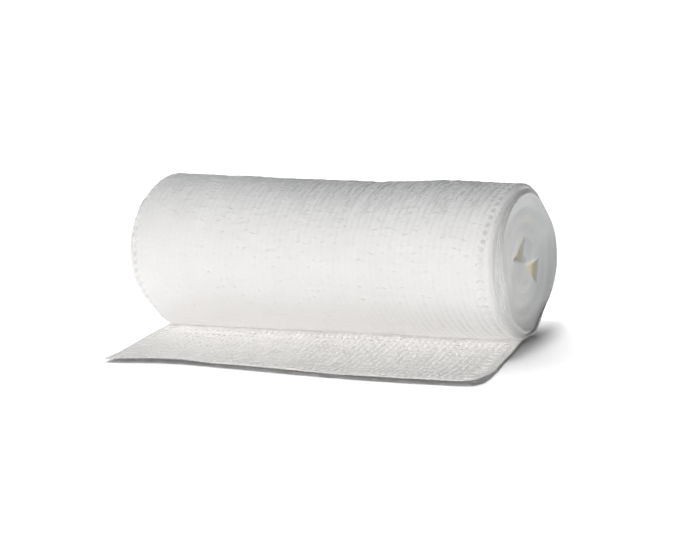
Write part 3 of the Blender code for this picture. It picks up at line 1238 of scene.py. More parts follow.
def open_group(
    name: str, inputs: tuple[tuple[str, str, float], ...], outputs: tuple[str, ...]
) -> tuple[Bench, bpy.types.Node, bpy.types.Node]:
    """Starts a shader node group.

    Args:
        name: The group's name.
        inputs: Name, socket type and default of each input.
        outputs: Name of each output, all plain values.

    Returns:
        The group's bench, and its input and output nodes.
    """
    group = bpy.data.node_groups.new(name, "ShaderNodeTree")
    for label, kind, default in inputs:
        socket = group.interface.new_socket(label, in_out="INPUT", socket_type=kind)
        if kind == "NodeSocketFloat":
            socket.default_value = default
    for label in outputs:
        group.interface.new_socket(label, in_out="OUTPUT", socket_type="NodeSocketFloat")
    bench = Bench(group)
    return bench, bench.add("NodeGroupInput"), group.nodes.new("NodeGroupOutput")


class CottonEffects:
    """The effects that the cotton finishes share, each built once."""

    # The selvage holes, in columns and courses: how far their rows run from the middle column,
    # how far along a course they are shifted, and half their width and length.
    hole_row = 28.5
    hole_shift = 0.78
    hole_width = 0.36
    hole_length = 0.34

    def __init__(self) -> None:
        """Builds the groups."""
        self.fuzz = self.build_fuzz()
        self.gaps = self.build_gaps()
        self.turns = self.build_turns()

    def build_fuzz(self) -> bpy.types.ShaderNodeTree:
        """Loose fibres and uneven whiteness: a fine noise over a coarse one."""
        bench, given, result = open_group(
            "cotton_fuzz",
            (
                ("Vector", "NodeSocketVector", 0.0),
                ("Fibre Scale", "NodeSocketFloat", 1.0),
                ("Patch Scale", "NodeSocketFloat", 1.0),
            ),
            ("Patch", "Height"),
        )
        place = given.outputs["Vector"]
        fine = bench.noise(place, given.outputs["Fibre Scale"], detail=5.0, roughness=0.62)
        coarse = bench.noise(place, given.outputs["Patch Scale"], detail=3.0, roughness=0.55)
        bench.join(bench.soft_step(coarse, 0.3, 0.7), result, "Patch")
        bench.join(fine, result, "Height")
        return bench.tree

    def build_gaps(self) -> bpy.types.ShaderNodeTree:
        """The places between columns and the selvage holes, counted in columns and courses. Gap is a
        mask that the finishes paint dark as painted shade of the turn beneath; Height feeds the bump.
        """
        bench, given, result = open_group(
            "knit_gaps",
            (
                ("Strip", "NodeSocketVector", 0.0),
                ("Openness", "NodeSocketFloat", 0.5),
                ("Hole Openness", "NodeSocketFloat", 0.5),
                ("Middle Column", "NodeSocketFloat", 31.0),
            ),
            ("Gap", "Height"),
        )
        strip = given.outputs["Strip"]
        parts = bench.add("ShaderNodeSeparateXYZ", None, _0=strip)
        column, course = parts.outputs[0], parts.outputs[1]
        wobble = bench.noise(strip, 0.9, detail=2.0, roughness=0.6)
        shift = bench.times(bench.minus(wobble, 0.5), 0.4)
        across = bench.maths("FRACT", bench.plus(column, shift))
        off_middle = bench.size(bench.minus(across, 0.5))
        band = bench.minus(1.0, bench.soft_step(off_middle, 0.04, 0.42))
        patches = bench.noise(bench.stretched(strip, (1.0, 0.45, 1.0)), 1.0, detail=3.0, roughness=0.6)
        broken = bench.times(band, bench.soft_step(patches, 0.25, 0.62))
        inner = bench.times(broken, given.outputs["Openness"])
        # The two rows of selvage holes lie as far from the middle column, each hole under an arc.
        from_middle = bench.minus(column, given.outputs["Middle Column"])
        from_row = bench.size(bench.minus(bench.size(from_middle), self.hole_row))
        along = bench.maths("FRACT", bench.plus(course, self.hole_shift))
        off_hole = bench.size(bench.minus(along, 0.5))
        wide = bench.maths("POWER", bench.maths("DIVIDE", from_row, self.hole_width), 2.0)
        long = bench.maths("POWER", bench.maths("DIVIDE", off_hole, self.hole_length), 2.0)
        hole = bench.minus(1.0, bench.soft_step(bench.plus(wide, long), 0.1, 1.35))
        hole = bench.times(hole, bench.soft_step(patches, 0.15, 0.55))
        hole = bench.times(hole, given.outputs["Hole Openness"])
        gap = bench.maths("MAXIMUM", inner, hole)
        bench.join(gap, result, "Gap")
        bench.join(bench.minus(1.0, gap), result, "Height")
        return bench.tree

    def build_turns(self) -> bpy.types.ShaderNodeTree:
        """The fine turns on an end face, counted in turns outward and courses round."""
        bench, given, result = open_group(
            "wound_turns", (("Turns", "NodeSocketVector", 0.0),), ("Line", "Height")
        )
        parts = bench.add("ShaderNodeSeparateXYZ", None, _0=given.outputs["Turns"])
        outward, course = parts.outputs[0], parts.outputs[1]
        place = bench.add(
            "ShaderNodeCombineXYZ", None, X=bench.times(outward, 0.55), Y=bench.times(course, 0.12)
        )
        wave = bench.noise(place.outputs[0], 1.0, detail=3.0, roughness=0.6)
        phase = bench.maths("FRACT", bench.plus(outward, bench.times(wave, 1.6)))
        line = bench.soft_step(bench.size(bench.minus(phase, 0.5)), 0.30, 0.5)
        strength = bench.soft_step(wave, 0.35, 0.65)
        bench.join(bench.times(line, strength), result, "Line")
        bench.join(bench.minus(1.0, line), result, "Height")
        return bench.tree


@dataclass(frozen=True)
class CottonFinish:
    """Bleached cotton, matt, with fibres that catch the light at a low angle."""

    name: str
    colour: Colour
    shade: Colour
    roughness: float = 0.88
    sheen: float = 0.25
    sheen_roughness: float = 0.5
    shine: float = 0.25
    glow_through: float = 0.35
    glow_reach: float = 0.0009
    fibre_scale: float = 2600.0
    patch_scale: float = 90.0
    bump: float = 0.40
    bump_depth: float = 0.00008

    def start(self) -> tuple[bpy.types.Material, Bench, bpy.types.Node]:
        """A new material with the plain values set on its shader.

        Returns:
            The material, its bench and its shader.
        """
        material = bpy.data.materials.new(self.name)
        material.use_nodes = True
        bench = Bench(material.node_tree)
        shader = material.node_tree.nodes["Principled BSDF"]
        for name, value in (
            ("Roughness", self.roughness),
            ("Sheen Weight", self.sheen),
            ("Sheen Roughness", self.sheen_roughness),
            ("Specular IOR Level", self.shine),
            ("Subsurface Weight", self.glow_through),
            ("Subsurface Radius", (1.0, 1.0, 1.0)),
            ("Subsurface Scale", self.glow_reach),
        ):
            bench.join(value, shader, name)
        return material, bench, shader

    def fuzz(self, bench: Bench, effects: CottonEffects) -> bpy.types.Node:
        """The shared fuzz on Object coordinates, at this finish's own scales."""
        return bench.add(
            "ShaderNodeGroup",
            {"node_tree": effects.fuzz},
            Vector=bench.add("ShaderNodeTexCoord").outputs["Object"],
            Fibre_Scale=self.fibre_scale,
            Patch_Scale=self.patch_scale,
        )

    def base(self, bench: Bench, share: Socket) -> Socket:
        """The finish's own colour, with this share of its shade."""
        return bench.blend(share, (*self.colour, 1.0), (*self.shade, 1.0))

    def relief(self, bench: Bench, shader: bpy.types.Node, height: Socket) -> None:
        """Joins a height to the shader's normal through a Bump node."""
        bump = bench.add(
            "ShaderNodeBump", None, Height=height, Strength=self.bump, Distance=self.bump_depth
        )
        bench.join(bump.outputs["Normal"], shader, "Normal")


@dataclass(frozen=True)
class YarnFinish(CottonFinish):
    """The yarns of the knit: fine fibres run along each strand."""

    stretch: tuple[float, float, float] = (14.0, 1.6, 1.0)
    streak_share: float = 0.35
    patch_share: float = 0.45

    def material(self, effects: CottonEffects) -> bpy.types.Material:
        """Builds the material."""
        material, bench, shader = self.start()
        fuzz = self.fuzz(bench, effects)
        along = bench.stretched(bench.uv("strip"), self.stretch)
        streaks = bench.noise(along, 1.0, detail=3.0, roughness=0.7)
        between = bench.minus(1.0, bench.soft_step(streaks, 0.38, 0.62))
        patches = bench.times(fuzz.outputs["Patch"], self.patch_share)
        dimmed = bench.plus(bench.times(between, self.streak_share), patches)
        bench.join(self.base(bench, dimmed), shader, "Base Color")
        self.relief(bench, shader, bench.plus(streaks, fuzz.outputs["Height"]))
        return material


@dataclass(frozen=True)
class UnderFinish(CottonFinish):
    """The turns under the outermost one, and the wound end faces."""

    # Painted shade: the gaps between columns and the selvage holes are painted this dark grey for the
    # shade on the turn beneath.
    gap_shade_colour: Colour = (0.46, 0.475, 0.49)
    # Painted shade: the end faces are painted greyer than the side for the shade in their open turn
    # ends.
    shaded_face_colour: Colour = (0.71, 0.71, 0.695)
    # The fine turn lines, and also the painted shade that darkens the right end face towards its top
    # and its back.
    line_and_shade_colour: Colour = (0.52, 0.53, 0.53)
    # Painted light: the hollows are painted this cream for the light that comes through the thin cloth
    # in them; the same colour paints a faint stain above them.
    cream_glow_and_stain: Colour = (0.68, 0.60, 0.43)
    patch_share: float = 0.6
    line_share: float = 0.12
    ring_relief: float = 0.15
    fuzz_relief: float = 0.8

    def material(self, effects: CottonEffects) -> bpy.types.Material:
        """Builds the material."""
        material, bench, shader = self.start()
        fuzz = self.fuzz(bench, effects)
        end = bench.attribute("end_face")
        gaps = bench.add(
            "ShaderNodeGroup",
            {"node_tree": effects.gaps},
            Strip=bench.uv("strip"),
            Openness=bench.attribute("openness"),
            Hole_Openness=bench.attribute("hole_openness"),
        )
        wound = bench.add("ShaderNodeGroup", {"node_tree": effects.turns}, Turns=bench.uv("turns"))
        base = self.base(bench, bench.times(fuzz.outputs["Patch"], self.patch_share))
        # The gaps and holes are painted dark grey: painted shade.
        side = bench.blend(gaps.outputs["Gap"], base, (*self.gap_shade_colour, 1.0))
        lines_and_shade = bench.times(wound.outputs["Line"], self.line_share)
        # end_shade adds painted shade towards the end face's top and back.
        lines_and_shade = bench.maths("ADD", lines_and_shade, bench.attribute("end_shade"), clamp=True)
        face = bench.blend(lines_and_shade, (*self.shaded_face_colour, 1.0), (*self.line_and_shade_colour, 1.0))
        whole = bench.blend(end, side, face)
        # The hollows are painted cream, as painted light through the cloth, with a faint stain.
        colour = bench.blend(bench.attribute("cream_glow_and_stain"), whole, (*self.cream_glow_and_stain, 1.0))
        bench.join(colour, shader, "Base Color")
        knit = bench.times(gaps.outputs["Height"], bench.minus(1.0, end))
        rings = bench.times(wound.outputs["Height"], bench.times(end, self.ring_relief))
        fibres = bench.times(fuzz.outputs["Height"], self.fuzz_relief)
        self.relief(bench, shader, bench.plus(bench.plus(knit, rings), fibres))
        return material


@dataclass(frozen=True)
class WebFinish(CottonFinish):
    """The fibres that fill the unrolled end between its columns."""

    # Painted shade: the gaps between columns are painted towards this grey for the shade under them.
    gap_shade_colour: Colour = (0.52, 0.52, 0.51)
    openness: float = 0.6
    middle_column: float = 32.0
    gap_share: float = 0.3
    patch_share: float = 0.5

    def material(self, effects: CottonEffects) -> bpy.types.Material:
        """Builds the material."""
        material, bench, shader = self.start()
        fuzz = self.fuzz(bench, effects)
        gaps = bench.add(
            "ShaderNodeGroup",
            {"node_tree": effects.gaps},
            Strip=bench.uv("strip"),
            Openness=self.openness,
            Middle_Column=self.middle_column,
        )
        # The gaps are painted dimmer: painted shade.
        dim = bench.times(gaps.outputs["Gap"], self.gap_share)
        base = self.base(bench, bench.times(fuzz.outputs["Patch"], self.patch_share))
        bench.join(bench.blend(dim, base, (*self.gap_shade_colour, 1.0)), shader, "Base Color")
        self.relief(bench, shader, bench.plus(gaps.outputs["Height"], fuzz.outputs["Height"]))
        return material


# --------------------------------------------------------------------------- the pieces


@dataclass
class WoundBody:
    """The turns under the outermost one, closed over both ends."""

    form: WoundForm
    outer: TurnLay
    profile: EndProfile
    strip: Strip
    steps: int = 256
    right_rings: int = 96
    bend_rings: int = 22
    side_rings: int = 56
    left_rings: int = 62
    fine_pitch: float = 0.66
    fine_relief: float = 0.02
    broad_folds: float = 0.30
    close_folds: float = 0.07
    far: float = 100.0
    right_hollows: tuple[Hollow, ...] = (
        Hollow(((0.7, 5.4), (-5.0, 1.7), (-1.3, 0.5)), 0.7, 1.6),
        Hollow(((0.3, -0.9), (8.8, -1.4), (6.6, -6.4)), 0.85, 1.6),
    )
    left_hollows: tuple[Hollow, ...] = (Hollow(((-4.4, 1.0), (2.2, 3.4), (1.4, -0.9)), 5.0),)
    fold_at: tuple[float, float] = (3.4, 1.1)
    fold_radius: float = 3.0
    fold_height: float = 0.7
    lowest: float = 0.28
    turn_pitch: float = 0.33
    rim_calm: Rise = Rise(0.86, 0.14)
    middle_calm: Rise = Rise(0.0, 1.5)
    face_start: Rise = Rise(0.25, 0.25)
    open_round: Sector = Sector(352.0, 44.0)
    open_right: Rise = Rise(-36.0, 60.0)
    low_open_round: Sector = Sector(140.0, 26.0)
    low_open_right: Rise = Rise(10.0, 30.0)
    right_holes_round: Sector = Sector(36.0, 36.0)
    left_holes_round: Sector = Sector(85.0, 28.0)
    shade_up: Rise = Rise(3.0, 11.0)
    shade_back: Rise = Rise(-8.0, 17.0)

    def crumpled(self, y: Array, z: Array, seed: int) -> Array:
        """The soft folds of an end face, where its turns don't all end alike."""
        far_y, far_z = y + self.far, z + self.far
        broad = self.broad_folds * Unevenness(seed, 5.6, 5.6).at(far_y, far_z)
        return broad + self.close_folds * Unevenness(seed + 1, 2.3, 2.3).at(far_y, far_z)

    def face_ring(self, end: End, share: float, angle: Array) -> tuple[Array, ...]:
        """A ring of an end face, with its fine turns, folds and hollows.

        Args:
            end: Which end.
            share: 0 at the middle and 1 at the bend.
            angle: Degrees round from the top by the front.

        Returns:
            X, radius, how much is end face, and how much is hollow.
        """
        form = self.form
        shares = np.full_like(angle, share)
        right = end is End.RIGHT
        x, radius = form.right_face(shares, angle) if right else form.left_face(shares, angle)
        out = float(end.value)
        turn = np.radians(angle)
        y, z = -radius * np.sin(turn), radius * np.cos(turn)
        phase = (radius / self.fine_pitch + out * angle / 360.0) % 1.0
        patch = 0.55 + 0.45 * Unevenness(31, 5.0, 5.0).at(y + self.far, z + self.far)
        calm = 1.0 - self.rim_calm.at(share)
        rise = self.fine_relief * np.cos(2.0 * np.pi * phase) * patch
        rise = rise + self.crumpled(y, z, 41 if right else 51)
        x = x + out * rise * calm * self.middle_calm.at(radius)
        if right:
            away = np.hypot(y - self.fold_at[0], z - self.fold_at[1])
            x = x + self.fold_height * bell(away, self.fold_radius)
        dug = np.zeros_like(angle)
        for hollow in self.right_hollows if right else self.left_hollows:
            dug = np.maximum(dug, hollow.dug(y, z))
        return x - out * dug, radius, np.ones_like(x), eased(dug)

    def bend_ring(self, end: End, share: float, angle: Array) -> tuple[Array, ...]:
        """A ring of a bend, from 0 at the selvage row to 1 at the face, in the same terms."""
        x, r = self.profile.at(end, np.full_like(angle, share), angle)
        return x, r, self.face_start.at(np.full_like(x, share)), np.zeros_like(x)

    def side_ring(self, ring: int, angle: Array) -> tuple[Array, ...]:
        """A ring of the side, counted from the right selvage row, in the same terms."""
        left, right = self.form.left_line(angle), self.form.right_line(angle)
        x = right + (left - right) * ring / self.side_rings
        r = self.form.side(x, angle) - self.profile.under
        return x, r, np.zeros_like(x), np.zeros_like(x)

    def rings(self) -> list[tuple[Array, ...]]:
        """All rings from the right end's middle to the left one's.

        Returns:
            X, radius, how much is end face, and how much is hollow, for each ring.
        """
        angle = np.arange(self.steps) * 360.0 / self.steps
        found = []
        for ring in range(1, self.right_rings + 1):
            found.append(self.face_ring(End.RIGHT, ring / self.right_rings, angle))
        for ring in range(1, self.bend_rings + 1):
            found.append(self.bend_ring(End.RIGHT, 1.0 - ring / self.bend_rings, angle))
        for ring in range(1, self.side_rings):
            found.append(self.side_ring(ring, angle))
        for ring in range(self.bend_rings + 1):
            found.append(self.bend_ring(End.LEFT, ring / self.bend_rings, angle))
        for ring in range(self.left_rings - 1, 0, -1):
            found.append(self.face_ring(End.LEFT, ring / self.left_rings, angle))
        return found

    def openness(self, x: Array, angle: Array) -> Array:
        """How far the columns stand apart, most where the turn is stretched at the top right. It also
        sets how dark the gaps are painted there, as painted shade of the turn beneath.
        """
        top = self.open_round.at(angle)
        low = self.low_open_round.at(angle) * self.low_open_right.at(x)
        return np.clip(0.04 + 1.05 * top * (0.25 + 0.75 * self.open_right.at(x)) + 0.30 * low, 0.0, 1.0)

    def hole_openness(self, x: Array, angle: Array) -> Array:
        """How far the selvage holes stand open, and how dark they are painted, as painted shade of the
        turn beneath.
        """
        right = 0.12 + 0.78 * self.right_holes_round.at(angle)
        left = 0.08 + 0.42 * self.left_holes_round.at(angle)
        return np.where(x > 0.0, right, left)

    def build(self, dressing: Dressing) -> bpy.types.Object:
        """Builds the piece: a ball whose rings are moved to the wound form.

        Args:
            dressing: Its finish.

        Returns:
            The piece.
        """
        rings = self.rings()
        leave_edit_mode()
        bpy.ops.mesh.primitive_uv_sphere_add(
            segments=self.steps, ring_count=len(rings) + 1, radius=1.0, calc_uvs=False
        )
        piece = bpy.context.active_object
        piece.name = "inner_turns"
        mesh = piece.data
        ball = read_points(mesh)
        polar = np.arctan2(np.hypot(ball[:, 0], ball[:, 1]), ball[:, 2])
        ring = np.round(polar / np.pi * (len(rings) + 1)).astype(int)
        turned = np.degrees(np.arctan2(ball[:, 1], ball[:, 0])) % 360.0
        step = np.round(turned / 360.0 * self.steps).astype(int) % self.steps
        table = np.array(rings)
        inner = np.clip(ring - 1, 0, len(rings) - 1)
        x, radius, end, hollow = (table[inner, i, step] for i in range(4))
        poles = (ring == 0) | (ring == len(rings) + 1)
        means = table[inner].mean(axis=2)
        x = np.where(poles, means[:, 0], x)
        radius = np.where(poles, 0.0, radius)
        angle = step * 360.0 / self.steps
        points = self.outer.pressed(x, radius, angle)
        # The turns stay clear of the floor and of the outermost turn's yarns under them.
        points[:, 2] = np.maximum(points[:, 2], self.lowest)
        finish_points(mesh, points)
        self.paint(mesh, x, radius, angle, step, end, hollow)
        edit_all(piece)
        bpy.ops.mesh.normals_make_consistent(inside=False)
        leave_edit_mode()
        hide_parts("roll")
        return dressing.put_on(piece)

    def paint(
        self,
        mesh: bpy.types.Mesh,
        x: Array,
        radius: Array,
        angle: Array,
        step: Array,
        end: Array,
        hollow: Array,
    ) -> None:
        """Writes the strip's measures, the turns' measures and the colour shares to the mesh, among
        them the painted shade of the gaps, holes and end face and the painted cream light in the
        hollows.
        """
        corners = loop_corners(mesh)
        share = step[corners] / self.steps
        first = np.zeros(len(mesh.polygons), np.int32)
        sizes = np.zeros(len(mesh.polygons), np.int32)
        mesh.polygons.foreach_get("loop_start", first)
        mesh.polygons.foreach_get("loop_total", sizes)
        face = np.repeat(np.arange(len(sizes)), sizes)
        highest = np.zeros(len(sizes))
        np.maximum.at(highest, face, share)
        share = np.where((highest[face] - share) > 0.5, share + 1.0, share)
        courses = (share - self.form.step_angle / 360.0) * self.strip.courses_round
        form, strip = self.form, self.strip
        left, right = form.left_line(angle), form.right_line(angle)
        across = strip.edge_band + (x - left) / (right - left) * (strip.width - 2.0 * strip.edge_band)
        wale = strip.wale_count(across)[corners]
        paint_uv(mesh, "strip", np.stack([wale, courses], axis=-1))
        turns = radius[corners] / self.turn_pitch + share
        paint_uv(mesh, "turns", np.stack([turns, courses], axis=-1))
        paint_points(mesh, "openness", self.openness(x, angle))
        paint_points(mesh, "hole_openness", self.hole_openness(x, angle))
        paint_points(mesh, "end_face", end)
        turn = np.radians(angle)
        y, z = -radius * np.sin(turn), radius * np.cos(turn)
        # Painted shade: the right end face is painted darker towards its top and its back.
        shade = 0.12 + 0.65 * self.shade_up.at(z) + 0.75 * self.shade_back.at(y)
        paint_points(mesh, "end_shade", np.minimum(shade, 0.95) * (x > 0.0))
        # The hollows are painted cream as painted light through the cloth; a faint stain is added above
        # them.
        stain = 0.22 * bell(np.hypot((y - 3.6) / 2.4, (z - 9.6) / 1.5), 1.0) * (x > 0.0)
        paint_points(mesh, "cream_glow_and_stain", np.clip(hollow + stain, 0.0, 1.0))


@dataclass
class OuterTurn:
    """The outermost turn of the knitted strip, in real stitches."""

    strip: Strip
    lay: TurnLay
    stitch: PillarStitch = field(default_factory=PillarStitch)
    yarn: InlaidYarn = field(default_factory=InlaidYarn)
    fibre: InlaidYarn = field(default_factory=lambda: InlaidYarn(sides=3, hump=0.02))
    parts: int = 3
    yarn_height: float = -0.17
    fibre_height: float = -0.16
    fibre_stray: float = 0.38

    def build(self, columns: Dressing, inlays: Dressing) -> list[bpy.types.Object]:
        """Builds the columns in a few pieces side by side, and the yarns and fibres in one each.

        Args:
            columns: The columns' finish.
            inlays: The inlaid yarns' and the fibres' finish.

        Returns:
            The pieces.
        """
        knitting = Knitting(self.strip, self.lay, seed=3)
        courses = self.strip.courses_round
        pieces = []
        for part, wales in enumerate(np.array_split(self.strip.wales(), self.parts), start=1):
            name = f"outer_turn_columns_{part}"
            piece = knitting.columns(name, self.stitch, wales, courses, self.yarn_height)
            pieces.append(columns.put_on(piece))
        piece = knitting.inlays("outer_turn_inlays", self.yarn, courses, self.yarn_height)
        pieces.append(inlays.put_on(piece))
        piece = knitting.fibres(
            "outer_turn_fibres", self.fibre, courses, self.fibre_height, self.fibre_stray
        )
        pieces.append(inlays.put_on(piece))
        return pieces


@dataclass
class EdgeTurns:
    """The selvages of the next turns, seen on the bend of each end."""

    strip: Strip
    lay: EdgeLay

    def build(self, name: str, dressing: Dressing) -> bpy.types.Object:
        """Builds the spiral of selvages of one end.

        Args:
            name: The piece's name.
            dressing: Its finish.

        Returns:
            The piece.
        """
        slackness = Slackness(sway=0.08, slip=0.3, rise=0.03, swell=0.3, sink=0.0)
        knitting = Knitting(self.strip, self.lay, slackness, seed=21)
        stitch = PillarStitch(strand=0.20, orbit_wide=0.12, orbit_high=0.07, flatness=0.40, steps=3)
        courses = int(self.lay.turns * self.strip.courses_round)
        piece = knitting.columns(name, stitch, np.array([0.0]), courses, -0.065)
        return dressing.put_on(piece)


@dataclass
class LooseEnd:
    """The unrolled end of the strip: a fibre web with real holes, its columns and inlaid yarns."""

    strip: Strip
    lay: LooseLay
    stitch: PillarStitch = field(default_factory=lambda: PillarStitch(strand=0.17, twist=-1.0))
    yarn: InlaidYarn = field(default_factory=lambda: InlaidYarn(thickness=0.085, hump=0.04))
    slackness: Slackness = field(
        default_factory=lambda: Slackness(
            sway=0.05, slip=0.10, rise=0.01, swell=0.10, sink=0.10, end_sink=0.16
        )
    )
    web_thickness: float = 0.09
    web_lowest: float = 0.04
    hole_margin: float = 0.34

    def web(self, dressing: Dressing) -> bpy.types.Object:
        """Builds the web: a grid with one cell for each gap, its open cells cut through.

        Args:
            dressing: Its finish.

        Returns:
            The web.
        """
        wales = self.strip.wales()
        gaps, courses = len(wales) + 1, self.strip.end_courses
        leave_edit_mode()
        bpy.ops.mesh.primitive_grid_add(
            x_subdivisions=gaps, y_subdivisions=courses, size=1.0, calc_uvs=False
        )
        web = bpy.context.active_object
        web.name = "loose_end_web"
        edit_all(web)
        bpy.ops.transform.resize(value=(gaps, courses, 1.0))
        bpy.ops.transform.translate(value=(gaps / 2.0, courses / 2.0, 0.0))
        bpy.ops.mesh.inset(thickness=self.hole_margin, use_individual=True)
        leave_edit_mode()
        self.cut_open_cells(web, gaps)
        mesh = web.data
        flat = read_points(mesh)
        # The outer cells are the narrow strips of fibre outside the last column at each edge.
        places = np.concatenate([[0.0], wales, [self.strip.width]])
        across = np.interp(flat[:, 0], np.arange(len(places)), places)
        course = flat[:, 1]
        shift = 0.13 * Unevenness(71, 1.3, 1.1).at(across * 2.1, course * 1.7)
        inside = (across > 0.2) & (across < self.strip.width - 0.2) & (course > 0.05)
        course = course + np.where(inside, shift, 0.0)
        across = across + np.where(inside, 0.8 * shift, 0.0)
        sag = -0.03 + 0.02 * Unevenness(72, 0.9, 0.7).at(across, course)
        finish_points(mesh, self.lay.lay(across, course, sag))
        paint_uv(mesh, "strip", flat[loop_corners(mesh), :2])
        finer = web.modifiers.new("finer", "SUBSURF")
        finer.levels = finer.render_levels = 1
        wall = web.modifiers.new("wall", "SOLIDIFY")
        wall.thickness = self.web_thickness * MM
        wall.offset = -1.0
        apply_modifiers(web)
        points = read_points(mesh)
        points[:, 2] = np.maximum(points[:, 2], self.web_lowest * MM)
        write_points(mesh, points)
        edit_all(web)
        bpy.ops.mesh.normals_make_consistent(inside=False)
        leave_edit_mode()
        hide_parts("loose_end")
        return dressing.put_on(web)

    def cut_open_cells(self, web: bpy.types.Object, gaps: int) -> None:
        """Deletes the middles of the cells that stand open, more of them near the roll's right.

        Args:
            web: The flat grid, inset cell by cell.
            gaps: How many cells it has across.
        """
        mesh = web.data
        open_amount = Unevenness(73, 3.3, 1.9)
        small = Unevenness(74, 1.0, 1.0)
        for face in mesh.polygons:
            middle = face.center
            centred = abs(middle.x % 1.0 - 0.5) < 0.02 and abs(middle.y % 1.0 - 0.5) < 0.02
            column, row = int(middle.x), int(middle.y)
            chance = float(open_amount.at(np.array(middle.x), np.array(middle.y)))
            chance += 0.7 * float(small.at(np.array(middle.x * 5.0), np.array(middle.y * 7.0)))
            chance += -0.95 + 1.9 * (column / gaps - 0.5) + 0.05 * (row - 7.0)
            whole = column in (0, 1, 2, gaps - 3, gaps - 2, gaps - 1)
            selvage = column in (3, gaps - 4)
            face.select = centred and row > 0 and not whole and (chance > 0.0 or selvage)
        make_active(web)
        bpy.ops.object.mode_set(mode="EDIT")
        bpy.ops.mesh.select_mode(type="FACE")
        bpy.ops.mesh.delete(type="FACE")
        bpy.ops.mesh.select_mode(type="VERT")
        leave_edit_mode()

    def build(self, web: Dressing, columns: Dressing, inlays: Dressing) -> list[bpy.types.Object]:
        """Args:
            web: The web's finish.
            columns: The columns' finish.
            inlays: The inlaid yarns' finish.

        Returns:
            The pieces.
        """
        cloth = self.web(web)
        knitting = Knitting(self.strip, self.lay, self.slackness, seed=9)
        wales, courses = self.strip.wales(), self.strip.end_courses
        ropes = columns.put_on(
            knitting.columns("loose_end_columns", self.stitch, wales, courses, height=0.0)
        )
        yarns = inlays.put_on(
            knitting.inlays("loose_end_inlays", self.yarn, courses, height=0.01, stray=0.14)
        )
        return [cloth, ropes, yarns]


# --------------------------------------------------------------------------- the studio


@dataclass(frozen=True)
class SoftLight:
    """A distant soft light, with the direction it comes from in degrees."""

    name: str
    azimuth: float
    elevation: float
    softness: float
    strength: float
    colour: Colour = (1.0, 1.0, 1.0)

    def build(
        self, lit: list[bpy.types.Object], stopped_by: list[bpy.types.Object] | None = None
    ) -> bpy.types.Object:
        """Hangs the light and gives it what it falls on.

        Args:
            lit: The objects that it lights.
            stopped_by: The objects that throw a shadow in it, or None for all. A light from under
                the table stands for what the bright table throws back, so the table lets it by.

        Returns:
            The light.
        """
        a, e = math.radians(self.azimuth), math.radians(self.elevation)
        away = Vector((math.sin(a) * math.cos(e), -math.cos(a) * math.cos(e), math.sin(e)))
        leave_edit_mode()
        bpy.ops.object.light_add(type="SUN", location=away)
        lamp = bpy.context.active_object
        lamp.name = self.name
        lamp.data.angle = math.radians(self.softness)
        lamp.data.energy = self.strength
        lamp.data.color = self.colour
        lamp.rotation_euler = away.to_track_quat("Z", "Y").to_euler()
        receivers = bpy.data.collections.new(f"{self.name}_falls_on")
        for obj in lit:
            receivers.objects.link(obj)
        lamp.light_linking.receiver_collection = receivers
        if stopped_by is not None:
            blockers = bpy.data.collections.new(f"{self.name}_stopped_by")
            for obj in stopped_by:
                blockers.objects.link(obj)
            lamp.light_linking.blocker_collection = blockers
        return lamp


@dataclass(frozen=True)
class View:
    """The photograph's viewpoint, in degrees and millimetres."""

    azimuth: float = 29.52
    elevation: float = 13.0
    roll: float = -5.51
    distance: float = 441.7
    aim_height: float = 13.78
    focal_pixels: float = 1800.0
    frame_width: int = 696
    sensor_width: float = 36.0

    def build(self) -> bpy.types.Object:
        """Sets up the camera and makes it the scene's."""
        a, e, p = (math.radians(v) for v in (self.azimuth, self.elevation, self.roll))
        back = Vector((math.sin(a) * math.cos(e), -math.cos(a) * math.cos(e), math.sin(e)))
        level = Vector((math.cos(a), math.sin(a), 0.0))
        upward = level.cross(-back)
        right = level * math.cos(p) + upward * math.sin(p)
        up = upward * math.cos(p) - level * math.sin(p)
        place = Vector(FRAME_PLACE) + Vector((0.0, 0.0, self.aim_height)) + back * self.distance
        data = bpy.data.cameras.new("view")
        camera = bpy.data.objects.new("view", data)
        bpy.context.scene.collection.objects.link(camera)
        data.sensor_width = self.sensor_width
        data.sensor_fit = "HORIZONTAL"
        data.lens = self.sensor_width * self.focal_pixels / self.frame_width
        data.clip_start = 0.01
        data.clip_end = 50.0
        turned = Matrix((right, up, back)).transposed().to_4x4()
        camera.matrix_world = Matrix.Translation(place * MM) @ turned
        bpy.context.scene.camera = camera
        return camera


